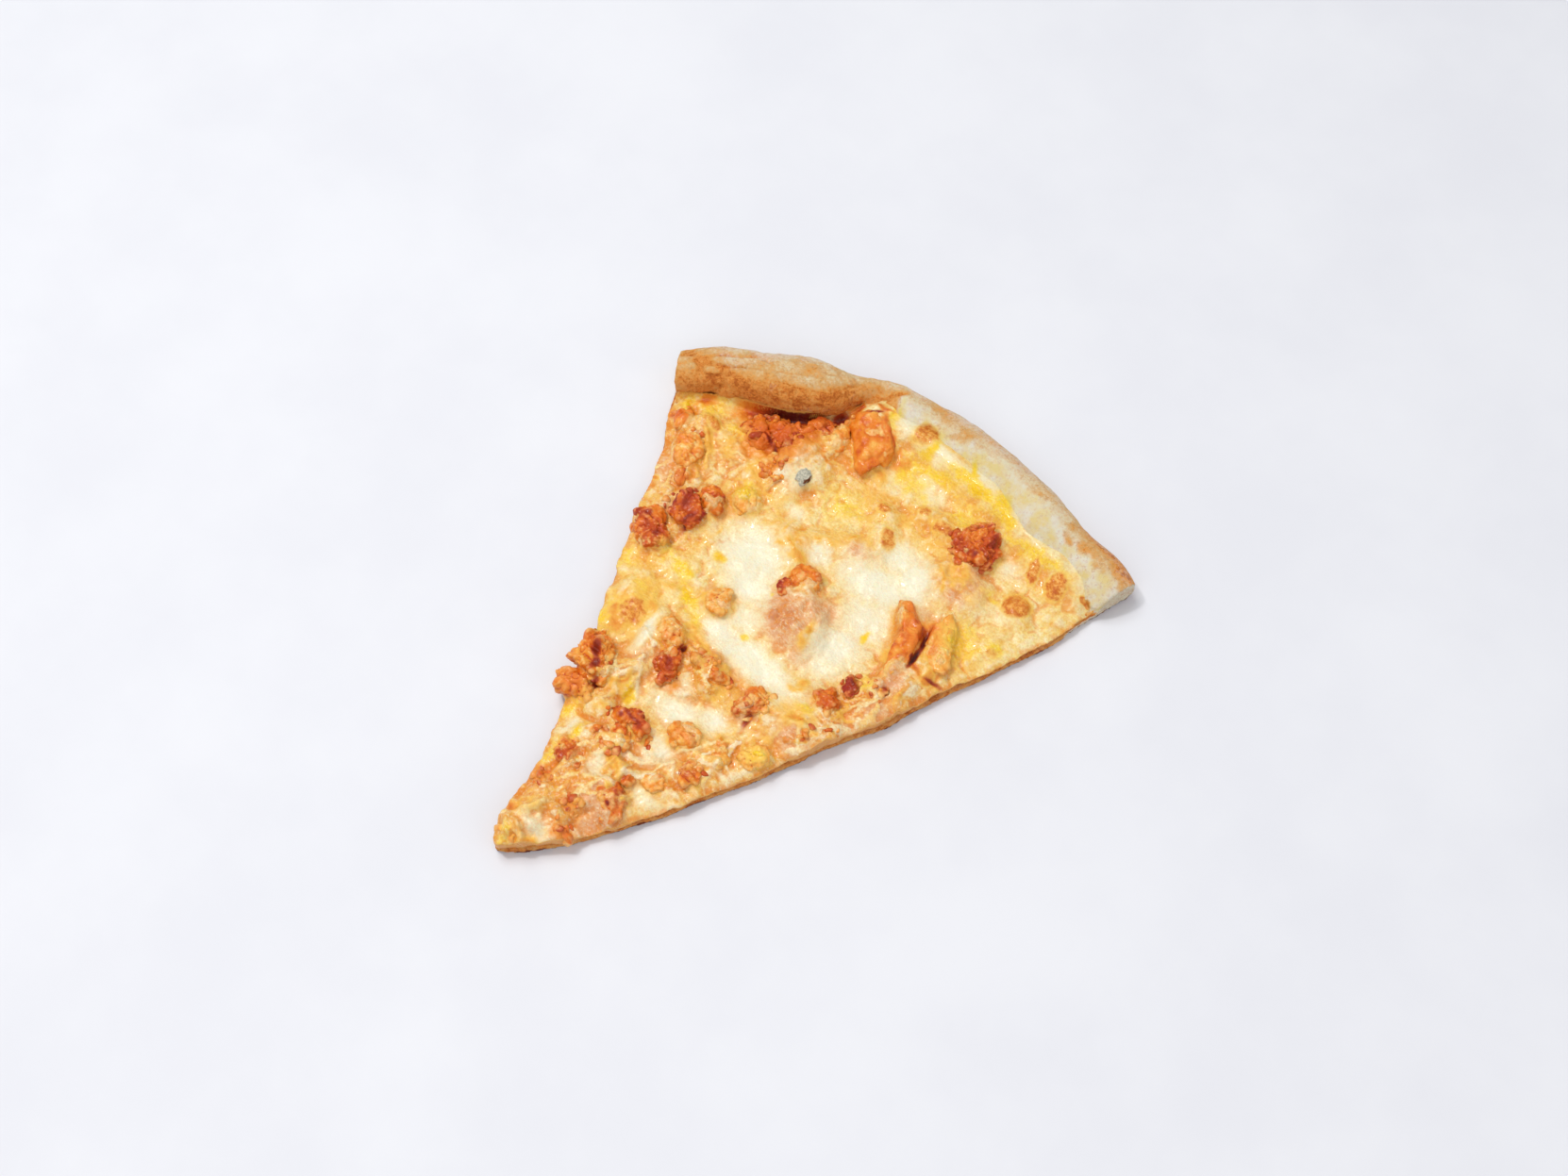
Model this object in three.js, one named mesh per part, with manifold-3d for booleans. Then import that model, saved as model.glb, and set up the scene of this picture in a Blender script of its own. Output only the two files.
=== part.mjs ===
// A slice of thin-crust chicken pizza: one eighth of a pie about 450 mm across, lying flat.
// It is a thin dough base with a browned roll of crust folded over one half of its rim and a pale,
// puffy rim along the other half, a layer of melted cheese, and nuggets of sauced chicken in it.
// Units are millimetres. Shapes are laid out from the tip of the slice, with +Y running to the rim,
// and the group is then moved so that its origin is the bottom centre of the bounding box.
import * as THREE from "three";
import { mergeVertices } from "three/addons/utils/BufferGeometryUtils.js";
import Module from "manifold-3d";

const wasm = await Module();
wasm.setup();

// ---- Driving dimensions ----
const BASE_THICKNESS = 3.2; // dough under the cheese
const CHEESE_THICKNESS = 2.2; // cheese where nothing lies under it
const EDGE_THINNING = 0.8; // how much thinner the cheese is at the cut edges
const EDGE_THINNING_REACH = 0.08; // share of the slice's width that this takes
const EDGE_LUMP_SHARE = 0.75; // how much of a lump's rise is left at the cut edges
const LEAST_CHEESE = 1.1; // top of the thinnest cheese above the base
const CHEESE_INSET = 0.4; // cheese stops at least this far inside the cut edges
const CHEESE_START = 0.012; // share of the slice's length at which the cheese starts
const EDGE_WANDER = 0.9; // how far the cut edges wander from a clean line
const CLEARANCE = 0.3; // gap between pieces that touch
const CELL = 4; // edge length of the cheese's surface triangles
const SWELL_SPREAD = 1.3; // how far cheese rises round a nugget, as a share of its size
const SWELL_SHARE = 0.42; // how high it rises, as a share of the nugget's height
const NUGGET_LIFT = 0.9; // underside of a nugget above the base
const NUGGET_SUNK = 0.45; // share of a nugget's height below its centre, where it is cut flat
const NUGGET_FACET = 7; // nuggets longer than 1.5 or 2.5 times this have finer facets
const SEED_STEP = 3.7; // makes each nugget's unevenness its own
const CRAG = 0.22; // unevenness of a nugget, as a share of its size
const PIT = 0.1; // finer unevenness

// ---- Facets ----
const ROLL_FACETS = { steps: 30, sides: 14 };
const PALE_RIM_FACETS = { steps: 32, sides: 13 };
const CUT_EDGE_STEPS = 48;
const RIM_LINE_STEPS = 24;

// ---- Outline, from the tip towards the rim ----
const LEFT_EDGE = [
  [0, 0], [-6, 12], [-9.5, 30], [-17.3, 47.5], [-22.5, 62], [-31, 79],
  [-41.5, 99.7], [-51.8, 120.7], [-60.5, 140], [-70, 155], [-78.5, 169],
];
const RIGHT_EDGE = [
  [0, 0], [4.6, 2.3], [17, 17], [31, 42], [38, 56.5], [45, 70], [54, 92.5], [59, 103], [65, 115],
  [68.5, 127.5], [72.5, 139.5], [78, 151], [82, 163], [87.3, 179], [93.5, 204],
];
const RIGHT_EDGE_BEYOND = [101, 227]; // the same cut, carried on past the rim

// Stations along the rim, left to right: centre, half width and height of the dough there.
const ROLL = [
  { at: [-78.5, 169], half: 8.7, tall: 15 },
  { at: [-65.4, 178.6], half: 9.4, tall: 17 },
  { at: [-53, 185.6], half: 10.7, tall: 18.5 },
  { at: [-41.5, 192], half: 11.3, tall: 19 },
  { at: [-32.3, 198.2], half: 9.6, tall: 17.5 },
  { at: [-26, 204.8], half: 6.2, tall: 14.5 },
  { at: [-19.5, 211.5], half: 4, tall: 12.5 },
  { at: [-11, 217], half: 3.2, tall: 10.5 },
];
const PALE_RIM = [
  { at: [-20, 207], half: 7, tall: 8 },
  { at: [-3, 210], half: 10.8, tall: 12.5 },
  { at: [18, 211], half: 11.6, tall: 12 },
  { at: [39, 210], half: 11.4, tall: 12.5 },
  { at: [61, 206.7], half: 10.5, tall: 13.5 },
  { at: [83, 204.5], half: 9.5, tall: 13 },
  { at: [104, 200.5], half: 9, tall: 12 },
];
const CENTRE_UP = 0.44; // height of a section's widest point, as a share of the whole height
const ROLL_LEAN = 0.12; // how far the roll's back leans in over the topping, in half widths
const ROLL_BROADNESS = 0.85; // below 1 the roll's section is broader than an ellipse
const ROLL_UNEVEN = 0.05;
const PALE_LEAN = 0.16; // how far the pale rim's crest lies outwards
const PALE_SLOPE = 0.26; // how much lower its inner side is
const PALE_UNEVEN = 0.04;

// Bubbles in the pale rim: where along it, how far they reach along it, and how far they swell.
const PUFFS = [
  { along: 0.1, reach: 0.055, swell: 0.16 },
  { along: 0.33, reach: 0.04, swell: 0.08 },
  { along: 0.46, reach: 0.04, swell: 0.1 },
  { along: 0.62, reach: 0.065, swell: 0.14 },
  { along: 0.82, reach: 0.05, swell: 0.08 },
];

// ---- Chicken: nuggets that stand bare out of the cheese ----
// at: centre. size: length, width, height. turn: degrees from +X. block: 1 is round, less is boxy.
// bend: how far a long piece curves sideways at its ends, as a share of its length.
const CHICKEN = [
  { name: "strip_at_rim", at: [-7, 192], size: [23, 14, 9.5], turn: -42, block: 0.55 },
  { name: "nugget_at_rim", at: [46, 185], size: [17, 16, 10], turn: 60 },
  { name: "crumble_under_roll", at: [-30, 175], size: [17, 10, 7], turn: 20 },
  { name: "crumble_beside_roll", at: [-38, 168], size: [12, 9, 7.5], turn: -20 },
  { name: "crumble_by_fold", at: [-24, 184], size: [11, 8, 6.5], turn: 40 },
  { name: "beside_strip", at: [-16.5, 186], size: [12, 8, 7], turn: -75 },
  { name: "left_cap", at: [-33, 137], size: [10, 9, 9], turn: -50 },
  { name: "left_wedge", at: [-36, 129], size: [13, 12, 9.5], turn: 15, block: 0.8 },
  { name: "left_nugget", at: [-41, 115], size: [14, 11, 8.5], turn: -25 },
  { name: "left_crag_upper", at: [-20.5, 67.5], size: [18, 12, 11], turn: -42 },
  { name: "left_crag_lower", at: [-19.5, 57], size: [12, 7.5, 8], turn: 10 },
  { name: "ridge_upper_left", at: [-53, 147], size: [13, 9, 7.5], turn: -55 },
  { name: "ridge_lower_left", at: [-47, 138], size: [8, 5, 6], turn: -75 },
  { name: "corner_bit", at: [-63, 155], size: [10, 7, 6], turn: -40 },
  { name: "golden_bead", at: [-24, 146], size: [10, 9, 6.5], turn: 0 },
  { name: "centre_cap", at: [11, 137], size: [12, 9, 9], turn: 20 },
  { name: "centre_bead", at: [9, 130], size: [7, 7, 7.5], turn: 70 },
  { name: "curl", at: [52, 142], size: [29, 8, 10], turn: -66, bend: 0.16, block: 0.8 },
  { name: "flank", at: [61, 148], size: [21, 9, 8], turn: -58, bend: -0.1 },
  { name: "brown_bead", at: [55, 123], size: [9, 7, 6.5], turn: 20 },
  { name: "dark_bead", at: [49, 118], size: [7, 6, 6.5], turn: -50 },
  { name: "amber_bead", at: [47, 108], size: [9, 8, 7.5], turn: -20, block: 0.75 },
  { name: "middle_nugget", at: [-5, 111], size: [10, 10, 7], turn: 40 },
  { name: "lower_nugget", at: [29, 91], size: [13, 8, 8.5], turn: 65 },
  { name: "pink_shard", at: [-8, 93], size: [12, 8, 7], turn: -30 },
  { name: "red_shard", at: [-1, 83], size: [13, 7, 7.5], turn: -60 },
  { name: "brown_shard", at: [9, 91], size: [15, 7, 7], turn: -5 },
  { name: "purple_bead", at: [14, 85], size: [8, 7, 5.5], turn: 0 },
  { name: "gold_nugget", at: [42, 78], size: [11, 7, 6.5], turn: 35 },
  { name: "low_ridge", at: [33, 71], size: [11, 5, 6], turn: -55 },
  { name: "low_star", at: [20, 68], size: [12, 8, 6.5], turn: 35 },
  { name: "low_amber", at: [31, 60], size: [10, 8, 6], turn: 25 },
  { name: "low_crumb", at: [25, 50], size: [9, 7, 5.5], turn: 0 },
  { name: "roof_shard", at: [4, 60], size: [14, 7, 8.5], turn: 12 },
  { name: "roof_bead", at: [5, 53], size: [10, 7, 7.5], turn: -30 },
  { name: "tip_lobe", at: [18, 36], size: [15, 11, 8.5], turn: -35 },
  { name: "tip_amber", at: [14, 45], size: [9, 7, 6.5], turn: -30 },
  { name: "tip_orange", at: [-3, 38], size: [11, 8, 7.5], turn: -40 },
  { name: "tip_bead", at: [11, 25], size: [8, 7, 6.5], turn: 25 },
  { name: "tip_flake", at: [-3, 26], size: [9, 6, 6], turn: 15 },
  { name: "tip_right", at: [13.2, 17.2], size: [7.5, 5, 5.5], turn: 30 },
  { name: "tip_curl", at: [1.5, 7.5], size: [10, 7, 7], turn: 75 },
];

// ---- Lumps: chicken wholly under the cheese, folds and bubbles, which swell the cheese itself ----
// at: centre. reach: half length and half width. high: rise. turn: degrees from +X.
const LUMPS = [
  { at: [-19, 170], reach: [12, 10], high: 5.6, turn: 0 },
  { at: [-20, 203], reach: [8, 6], high: 5.5, turn: 20 },
  { at: [20, 125], reach: [15, 9], high: 4.4, turn: -40 },
  { at: [14, 119], reach: [9, 7], high: 2.6, turn: 10 },
  { at: [54, 169], reach: [10, 8], high: 3.4, turn: -60 },
  { at: [45, 166], reach: [11, 5], high: 3.4, turn: -55 },
  { at: [60, 131], reach: [10, 8], high: 4.2, turn: 60 },
  { at: [61, 117], reach: [9, 6], high: 3.2, turn: 70 },
  { at: [50, 97], reach: [11, 9], high: 4.4, turn: 60 },
  { at: [40, 93], reach: [9, 8], high: 3.6, turn: 0 },
  { at: [40, 101], reach: [10, 5], high: 2.8, turn: 20 },
  { at: [37, 105], reach: [5, 4], high: 2.4, turn: 30 },
  { at: [-55, 158], reach: [9, 6], high: 3.0, turn: 30 },
  { at: [-42, 158], reach: [8, 5], high: 2.8, turn: 0 },
  { at: [-30, 158], reach: [9, 6], high: 3.0, turn: -20 },
  { at: [-27, 91], reach: [9, 13], high: 2.6, turn: 20 },
  { at: [-13, 84], reach: [15, 5], high: 3.6, turn: -75 },
  { at: [-8, 71], reach: [12, 4], high: 3.4, turn: 85 },
  { at: [-9, 57], reach: [7, 5], high: 3.4, turn: 20 },
  { at: [0, 47], reach: [12, 8], high: 4.4, turn: 40 },
  { at: [7, 33], reach: [12, 8], high: 4.4, turn: 20 },
  { at: [4, 20], reach: [9, 7], high: 4.4, turn: 0 },
  { at: [2, 11], reach: [7, 7], high: 4.0, turn: 0 },
  { at: [33, 184], reach: [14, 6], high: 2.0, turn: 5 },
  { at: [17, 157], reach: [7, 6], high: 2.4, turn: 0 },
  { at: [20, 166], reach: [7, 4], high: 2.0, turn: -60 },
  { at: [13, 175], reach: [6, 5], high: 2.0, turn: 0 },
  { at: [-3, 145], reach: [9, 4], high: 2.2, turn: -50 },
  { at: [3, 152], reach: [8, 4], high: 2.0, turn: 35 },
  { at: [76, 191], reach: [5, 5], high: 1.8, turn: 0 },
  { at: [71, 176], reach: [6, 6], high: 1.8, turn: 0 },
  { at: [67, 190], reach: [4, 6], high: 1.6, turn: 20 },
  { at: [75, 160], reach: [5, 4], high: 1.2, turn: 0 },
];

// The cheese's edge that climbs the pale rim: from where to where along the rim line, how far its
// crest lies inside that line, and how high it rises.
const LAP_COUNT = 9;
const LAP_START = 0.45;
const LAP_END = 0.97;
const LAP_SETBACK = 4.5;
const LAP_RISE = 6.4;

const COLOURS = { dough: 0xd9a868, cheese: 0xf3dc9c, chicken: 0xc8763a };

// ---- Seeded smooth noise, from -1 to 1 ----
function latticeValue(i, j, k) {
  let h = Math.imul(i, 374761393) ^ Math.imul(j, 668265263) ^ Math.imul(k, 1103515245);
  h = Math.imul(h ^ (h >>> 13), 1274126177);
  return ((h ^ (h >>> 16)) >>> 0) / 2147483648 - 1;
}

function noise(x, y, z = 0) {
  const cell = [x, y, z].map(Math.floor);
  const ease = [x, y, z].map((v, axis) => THREE.MathUtils.smootherstep(v - cell[axis], 0, 1));
  let sum = 0;
  for (let corner = 0; corner < 8; corner++) {
    const step = [corner & 1, (corner >> 1) & 1, corner >> 2];
    const weight = step.reduce((w, s, axis) => w * (s ? ease[axis] : 1 - ease[axis]), 1);
    sum += weight * latticeValue(cell[0] + step[0], cell[1] + step[1], cell[2] + step[2]);
  }
  return sum;
}

// ---- Solids ----
function closedGeometry(positions, triangles) {
  const geometry = new THREE.BufferGeometry();
  geometry.setAttribute("position", new THREE.Float32BufferAttribute(positions, 3));
  geometry.setIndex(triangles);
  return geometry;
}

function toSolid(geometry) {
  const bare = geometry.clone();
  bare.deleteAttribute("normal");
  bare.deleteAttribute("uv");
  const merged = mergeVertices(bare, 1e-4);
  const mesh = new wasm.Mesh({
    numProp: 3,
    vertProperties: merged.attributes.position.array,
    triVerts: new Uint32Array(merged.index.array),
  });
  return new wasm.Manifold(mesh);
}

function toGeometry(solid) {
  const mesh = solid.getMesh();
  return closedGeometry(mesh.vertProperties, Array.from(mesh.triVerts));
}

function largestBody(solid) {
  return solid.decompose().reduce((a, b) => (b.volume() > a.volume() ? b : a));
}

function prism(points, bottom, top) {
  const shape = new THREE.Shape(points.map(([x, y]) => new THREE.Vector2(x, y)));
  const geometry = new THREE.ExtrudeGeometry(shape, { depth: top - bottom, bevelEnabled: false });
  return toSolid(geometry.translate(0, 0, bottom));
}

function planCurve(points) {
  return new THREE.CatmullRomCurve3(points.map(([x, y]) => new THREE.Vector3(x, y, 0)));
}

// A closed body swept through stations. section(t, angle) gives how far out, in half widths, and how
// far up, in heights, the surface lies; what would lie below the floor is flattened. grow makes the
// body larger all round.
function sweep(stations, { steps, sides }, section, grow) {
  const path = planCurve(stations.map((station) => station.at));
  const sizes = planCurve(stations.map((station) => [station.half, station.tall]));
  const positions = [];
  const triangles = [];
  for (let step = 0; step <= steps; step++) {
    const t = step / steps;
    const centre = path.getPoint(t);
    const along = path.getTangent(t);
    const size = sizes.getPoint(t);
    for (let side = 0; side < sides; side++) {
      const angle = (side / sides) * 2 * Math.PI;
      const [outwards, upwards] = section(t, angle);
      const out = size.x * outwards + grow * Math.cos(angle);
      const up = Math.max(size.y * upwards + grow * Math.sin(angle), -grow);
      positions.push(centre.x - along.y * out, centre.y + along.x * out, up);
      if (step === steps) continue;
      const here = step * sides + side;
      const next = step * sides + ((side + 1) % sides);
      triangles.push(here, next, here + sides, next, next + sides, here + sides);
    }
  }
  const lastRing = steps * sides;
  for (let side = 1; side < sides - 1; side++) {
    triangles.push(0, side + 1, side, lastRing, lastRing + side, lastRing + side + 1);
  }
  return toSolid(closedGeometry(positions, triangles));
}

// The fold leans in over the topping and has a broad, flattish back.
function rollSection(t, angle) {
  const [c, s] = [Math.cos(angle), Math.sin(angle)];
  const uneven = 1 + ROLL_UNEVEN * noise(t * 9, c * 1.5, s * 1.5 + 7);
  const broad = Math.sign(c) * Math.abs(c) ** ROLL_BROADNESS;
  const up = CENTRE_UP + (1 - CENTRE_UP) * s * uneven;
  return [broad * uneven - ROLL_LEAN * Math.max(0, s), up];
}

// The pale rim is highest near its outer side and slopes gently down to the cheese.
function paleRimSection(t, angle) {
  const [c, s] = [Math.cos(angle), Math.sin(angle)];
  const puff = PUFFS.reduce((sum, p) => sum + p.swell * Math.exp(-(((t - p.along) / p.reach) ** 2)), 0);
  const uneven = 1 + PALE_UNEVEN * noise(t * 14, c * 1.5, s * 1.5);
  const up = CENTRE_UP + (0.97 - CENTRE_UP) * s + puff * Math.max(0, s) - PALE_SLOPE * Math.max(0, -c);
  return [c * uneven + PALE_LEAN * Math.max(0, s), up * uneven];
}

function rollSolid(grow) {
  return sweep(ROLL, ROLL_FACETS, rollSection, grow);
}

// The pale rim is swept on past the right-hand cut and trimmed there.
function paleRimSolid(grow) {
  const [before, last] = RIGHT_EDGE.slice(-2);
  const clearOfSlice = 140;
  const waste = [
    before, last, RIGHT_EDGE_BEYOND, [clearOfSlice, RIGHT_EDGE_BEYOND[1]], [clearOfSlice, before[1]],
  ];
  return sweep(PALE_RIM, PALE_RIM_FACETS, paleRimSection, grow).subtract(prism(waste, -5, 40));
}

const leftEdge = planCurve(LEFT_EDGE);
const rightEdge = planCurve(RIGHT_EDGE);
const rimLine = planCurve([
  ...ROLL.slice(0, -2).map((station) => station.at),
  ...PALE_RIM.slice(1, -1).map((station) => station.at),
  RIGHT_EDGE.at(-1),
]);

// A point of the slice: s runs from the tip (0) to the rim's centre line (1), t from left to right.
function slicePoint(s, t) {
  const left = leftEdge.getPointAt(s);
  const right = rightEdge.getPointAt(s);
  const bow = rimLine.getPointAt(t);
  bow.sub(rimLine.getPointAt(0).lerp(rimLine.getPointAt(1), t));
  const point = left.lerp(right, t).addScaledVector(bow, s * s);
  return [point.x, point.y];
}

// How far the cut edges wander at a height y: the left one and the right one differ.
function wander(y, side) {
  return EDGE_WANDER * (0.6 * noise(y / 11, side * 7) + 0.4 * noise(y / 4, side * 7, 3));
}

function doughGeometry() {
  const cutEdge = (curve, side) =>
    curve.getSpacedPoints(CUT_EDGE_STEPS).map((p) => [p.x + wander(p.y, side), p.y]);
  const border = [
    ...cutEdge(rightEdge, 2).slice(1),
    ...rimLine.getSpacedPoints(RIM_LINE_STEPS).slice(1, -1).reverse().map((p) => [p.x, p.y]),
    ...cutEdge(leftEdge, 1).reverse(),
  ];
  const base = prism(border, 0, BASE_THICKNESS);
  return toGeometry(base.add(paleRimSolid(0)).add(rollSolid(0)));
}

// Height of a smooth dome over an ellipse, at a point.
function dome({ at, reach, high, turn }, x, y) {
  const angle = THREE.MathUtils.degToRad(turn);
  const dx = x - at[0];
  const dy = y - at[1];
  const along = (dx * Math.cos(angle) + dy * Math.sin(angle)) / reach[0];
  const across = (dy * Math.cos(angle) - dx * Math.sin(angle)) / reach[1];
  const inside = Math.max(0, 1 - along * along - across * across);
  return high * inside * (2 - inside);
}

// Where the cheese laps up the inner slope of the pale rim, unevenly.
const LAPS = Array.from({ length: LAP_COUNT }, (unused, n) => {
  const [x, y] = slicePoint(1, THREE.MathUtils.lerp(LAP_START, LAP_END, n / (LAP_COUNT - 1)));
  const uneven = noise(n * 1.7, 4);
  return { at: [x, y - LAP_SETBACK + uneven], reach: [13, 9 + uneven], high: LAP_RISE, turn: -5 };
});

const SWELLS = CHICKEN.map(({ at, size, turn }) => ({
  at,
  reach: [size[0] * 0.5 * SWELL_SPREAD, size[1] * 0.5 * SWELL_SPREAD],
  high: size[2] * SWELL_SHARE,
  turn,
}));

// Cheese pools between its lumps, so domes that meet take the higher one, softly.
function cheeseRise(x, y) {
  const power = 3;
  const sum = [...LUMPS, ...LAPS, ...SWELLS].reduce((total, lump) => total + dome(lump, x, y) ** power, 0);
  return sum ** (1 / power) + 0.35 * noise(x / 9, y / 9, 3) + 0.25 * noise(x / 4, y / 4, 5);
}

// The cheese follows the dough's cut edges, drawn back from them here and there.
function cheeseInset(y, side) {
  const drawnBack = EDGE_WANDER * (1 + noise(y / 7, side * 5, 8));
  return CHEESE_INSET + drawnBack + (side === 1 ? wander(y, 1) : -wander(y, 2));
}

// Height of the cheese's surface at a point t of the way across the slice.
function cheeseTop(x, y, t) {
  const toEdge = Math.min(1, Math.min(t, 1 - t) / EDGE_THINNING_REACH);
  const thickness = THREE.MathUtils.lerp(CHEESE_THICKNESS - EDGE_THINNING, CHEESE_THICKNESS, toEdge);
  const rise = cheeseRise(x, y) * THREE.MathUtils.lerp(EDGE_LUMP_SHARE, 1, toEdge);
  return BASE_THICKNESS + Math.max(LEAST_CHEESE, thickness + rise);
}

// One row of surface points across the slice, in steps of about CELL.
function cheeseRow(s, lift) {
  const [a, b] = [slicePoint(s, 0), slicePoint(s, 1)];
  const width = Math.hypot(b[0] - a[0], b[1] - a[1]);
  const steps = Math.max(2, Math.round(width / CELL));
  const [left, right] = [1, 2].map((side) => Math.min(0.2, cheeseInset(a[1], side) / width));
  return Array.from({ length: steps + 1 }, (unused, step) => {
    const t = THREE.MathUtils.lerp(left, 1 - right, step / steps);
    const [x, y] = slicePoint(s, t);
    return [x, y, cheeseTop(x, y, t) + lift];
  });
}

// Rows across the slice are stitched together into the cheese's top, which walls join to a flat
// underside. lift raises the top.
function cheeseSolid(lift) {
  const rowCount = Math.ceil(rightEdge.getLength() / CELL);
  const positions = [];
  const triangles = [];
  const rows = [];
  for (let row = 0; row <= rowCount; row++) {
    const points = cheeseRow(THREE.MathUtils.lerp(CHEESE_START, 1, row / rowCount), lift);
    rows.push(points.map((point, n) => positions.length / 3 + n));
    positions.push(...points.flat());
    if (row > 0) stitch(rows[row - 1], rows[row], triangles);
  }
  const border = [
    ...rows[0],
    ...rows.slice(1, -1).map((row) => row.at(-1)),
    ...rows.at(-1).slice().reverse(),
    ...rows.slice(1, -1).reverse().map((row) => row[0]),
  ];
  closeUnderneath(border, BASE_THICKNESS + CLEARANCE, positions, triangles);
  return toSolid(closedGeometry(positions, triangles));
}

// Triangles between two rows of points that may differ in number.
function stitch(lower, upper, triangles) {
  let i = 0;
  let j = 0;
  while (i < lower.length - 1 || j < upper.length - 1) {
    const stepLower = (i + 1) / (lower.length - 1);
    const stepUpper = (j + 1) / (upper.length - 1);
    if (j === upper.length - 1 || (i < lower.length - 1 && stepLower <= stepUpper)) {
      triangles.push(lower[i], lower[i + 1], upper[j]);
      i++;
    } else {
      triangles.push(lower[i], upper[j + 1], upper[j]);
      j++;
    }
  }
}

// Walls from a border that runs counter-clockwise down to the floor, and the flat underside.
function closeUnderneath(border, floor, positions, triangles) {
  const first = positions.length / 3;
  for (const index of border) positions.push(positions[index * 3], positions[index * 3 + 1], floor);
  border.forEach((top, n) => {
    const next = (n + 1) % border.length;
    triangles.push(top, first + n, border[next], border[next], first + n, first + next);
  });
  const contour = border.map((i) => new THREE.Vector2(positions[i * 3], positions[i * 3 + 1]));
  for (const [a, b, c] of THREE.ShapeUtils.triangulateShape(contour, [])) {
    triangles.push(first + a, first + c, first + b);
  }
}

// A craggy nugget: a sphere's directions pushed out unevenly, then squared, stretched and bent.
// grow makes it larger all round.
function nuggetSolid({ at, size, turn, block = 0.9, bend = 0 }, seed, grow = 0) {
  const detail = THREE.MathUtils.clamp(Math.round(size[0] / NUGGET_FACET), 1, 3);
  const sphere = new THREE.IcosahedronGeometry(1, detail);
  const position = sphere.attributes.position;
  const point = new THREE.Vector3();
  const spans = size.map((span) => span + 2 * (1 + CRAG) * grow);
  for (let i = 0; i < position.count; i++) {
    point.fromBufferAttribute(position, i);
    const crag = CRAG * noise(point.x * 1.7 + seed, point.y * 1.7, point.z * 1.7);
    const pit = PIT * noise(point.x * 4 + seed, point.y * 4, point.z * 4 + 9);
    const [x, y, z] = point.toArray().map((c) => Math.sign(c) * Math.abs(c) ** block);
    point.set(x * spans[0], y * spans[1], z * spans[2]).multiplyScalar(0.5 * (1 + crag + pit));
    point.y -= bend * size[0] * (point.x / (0.5 * size[0])) ** 2;
    position.setXYZ(i, point.x, point.y, Math.max(point.z, -NUGGET_SUNK * size[2] - grow));
  }
  sphere.rotateZ(THREE.MathUtils.degToRad(turn));
  sphere.translate(at[0], at[1], BASE_THICKNESS + NUGGET_LIFT + NUGGET_SUNK * size[2]);
  return toSolid(sphere);
}

function material(colour, roughness) {
  return new THREE.MeshStandardMaterial({ color: colour, roughness, metalness: 0 });
}

function named(name, geometry, surface) {
  const mesh = new THREE.Mesh(geometry, surface);
  mesh.name = name;
  return mesh;
}

const slice = new THREE.Group();
slice.add(named("dough", doughGeometry(), material(COLOURS.dough, 0.85)));

const roundRims = rollSolid(CLEARANCE).add(paleRimSolid(CLEARANCE));
const cheese = largestBody(cheeseSolid(0).subtract(roundRims));
slice.add(named("cheese", toGeometry(cheese), material(COLOURS.cheese, 0.4)));

const chickenSurface = material(COLOURS.chicken, 0.6);
let taken = cheeseSolid(CLEARANCE).add(roundRims);
CHICKEN.forEach((piece, index) => {
  const whole = nuggetSolid(piece, index * SEED_STEP);
  const bare = largestBody(whole.subtract(taken));
  slice.add(named("chicken_" + piece.name, toGeometry(bare), chickenSurface));
  taken = taken.add(nuggetSolid(piece, index * SEED_STEP, CLEARANCE));
});

const bounds = new THREE.Box3().setFromObject(slice);
const middle = bounds.getCenter(new THREE.Vector3());
slice.position.set(-middle.x, -middle.y, -bounds.min.z);

export default slice;
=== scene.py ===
"""Looks of a slice of chicken pizza: browned crust, melted cheese and nuggets of sauced chicken.

Places are in millimetres in the slice's own plan: (0, 0) is its tip, +Y runs towards the rim and +X
to the right, seen from above, and heights are above the floor. to_row carries them into the frame.
"""

import math

import bmesh
import bpy
import numpy as np
from mathutils import Matrix, Vector
from mathutils.bvhtree import BVHTree


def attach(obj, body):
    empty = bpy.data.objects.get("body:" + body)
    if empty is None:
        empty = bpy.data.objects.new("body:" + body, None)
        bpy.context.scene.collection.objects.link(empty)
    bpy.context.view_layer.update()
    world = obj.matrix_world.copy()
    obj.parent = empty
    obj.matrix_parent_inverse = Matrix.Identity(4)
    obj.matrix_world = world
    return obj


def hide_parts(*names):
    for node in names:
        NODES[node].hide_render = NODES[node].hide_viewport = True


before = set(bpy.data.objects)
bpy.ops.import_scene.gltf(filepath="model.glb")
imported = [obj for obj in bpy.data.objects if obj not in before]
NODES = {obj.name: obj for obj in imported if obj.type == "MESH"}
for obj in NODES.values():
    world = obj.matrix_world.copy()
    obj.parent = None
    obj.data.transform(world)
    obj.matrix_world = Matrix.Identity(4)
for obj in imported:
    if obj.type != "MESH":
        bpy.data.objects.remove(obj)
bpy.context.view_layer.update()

# ---- Sizes, in millimetres ----
MM = 0.001
CRUST_VOXEL = 0.66  # edges of the voxels with which a solid gets an even surface
CHEESE_VOXEL = 0.48
CHICKEN_VOXEL = 0.33
RASTER = 0.5  # spacing of the maps of heights seen from above
CHEESE_SOFTNESS = 1.5  # how far the solid's facets are blurred away in the cheese
DRAPE = 0.35  # share of a bare nugget's height that the cheese climbs
COATED_DRAPE = 0.5  # the same, more, for one wholly coated in cheese
VEIL = 0.3  # thickness of the cheese where it covers a nugget
UNDERCUT = 0.2  # how far the foot of the dough's cut sides lies inside their top
SHOULDER = 1.5  # how far the cheese sinks at its cut edges
FLATTEN = 0.3  # share of its height that a nugget coated in cheese loses
EDGE_BLUR = 1.4  # blur of the outlines from which distances to the cut edges are read
STREAK_TURN = 0.7  # direction of the streaks in the cheese, in radians
SEAM = 0.5  # how far the cheese's underside sinks towards the dough
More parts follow.
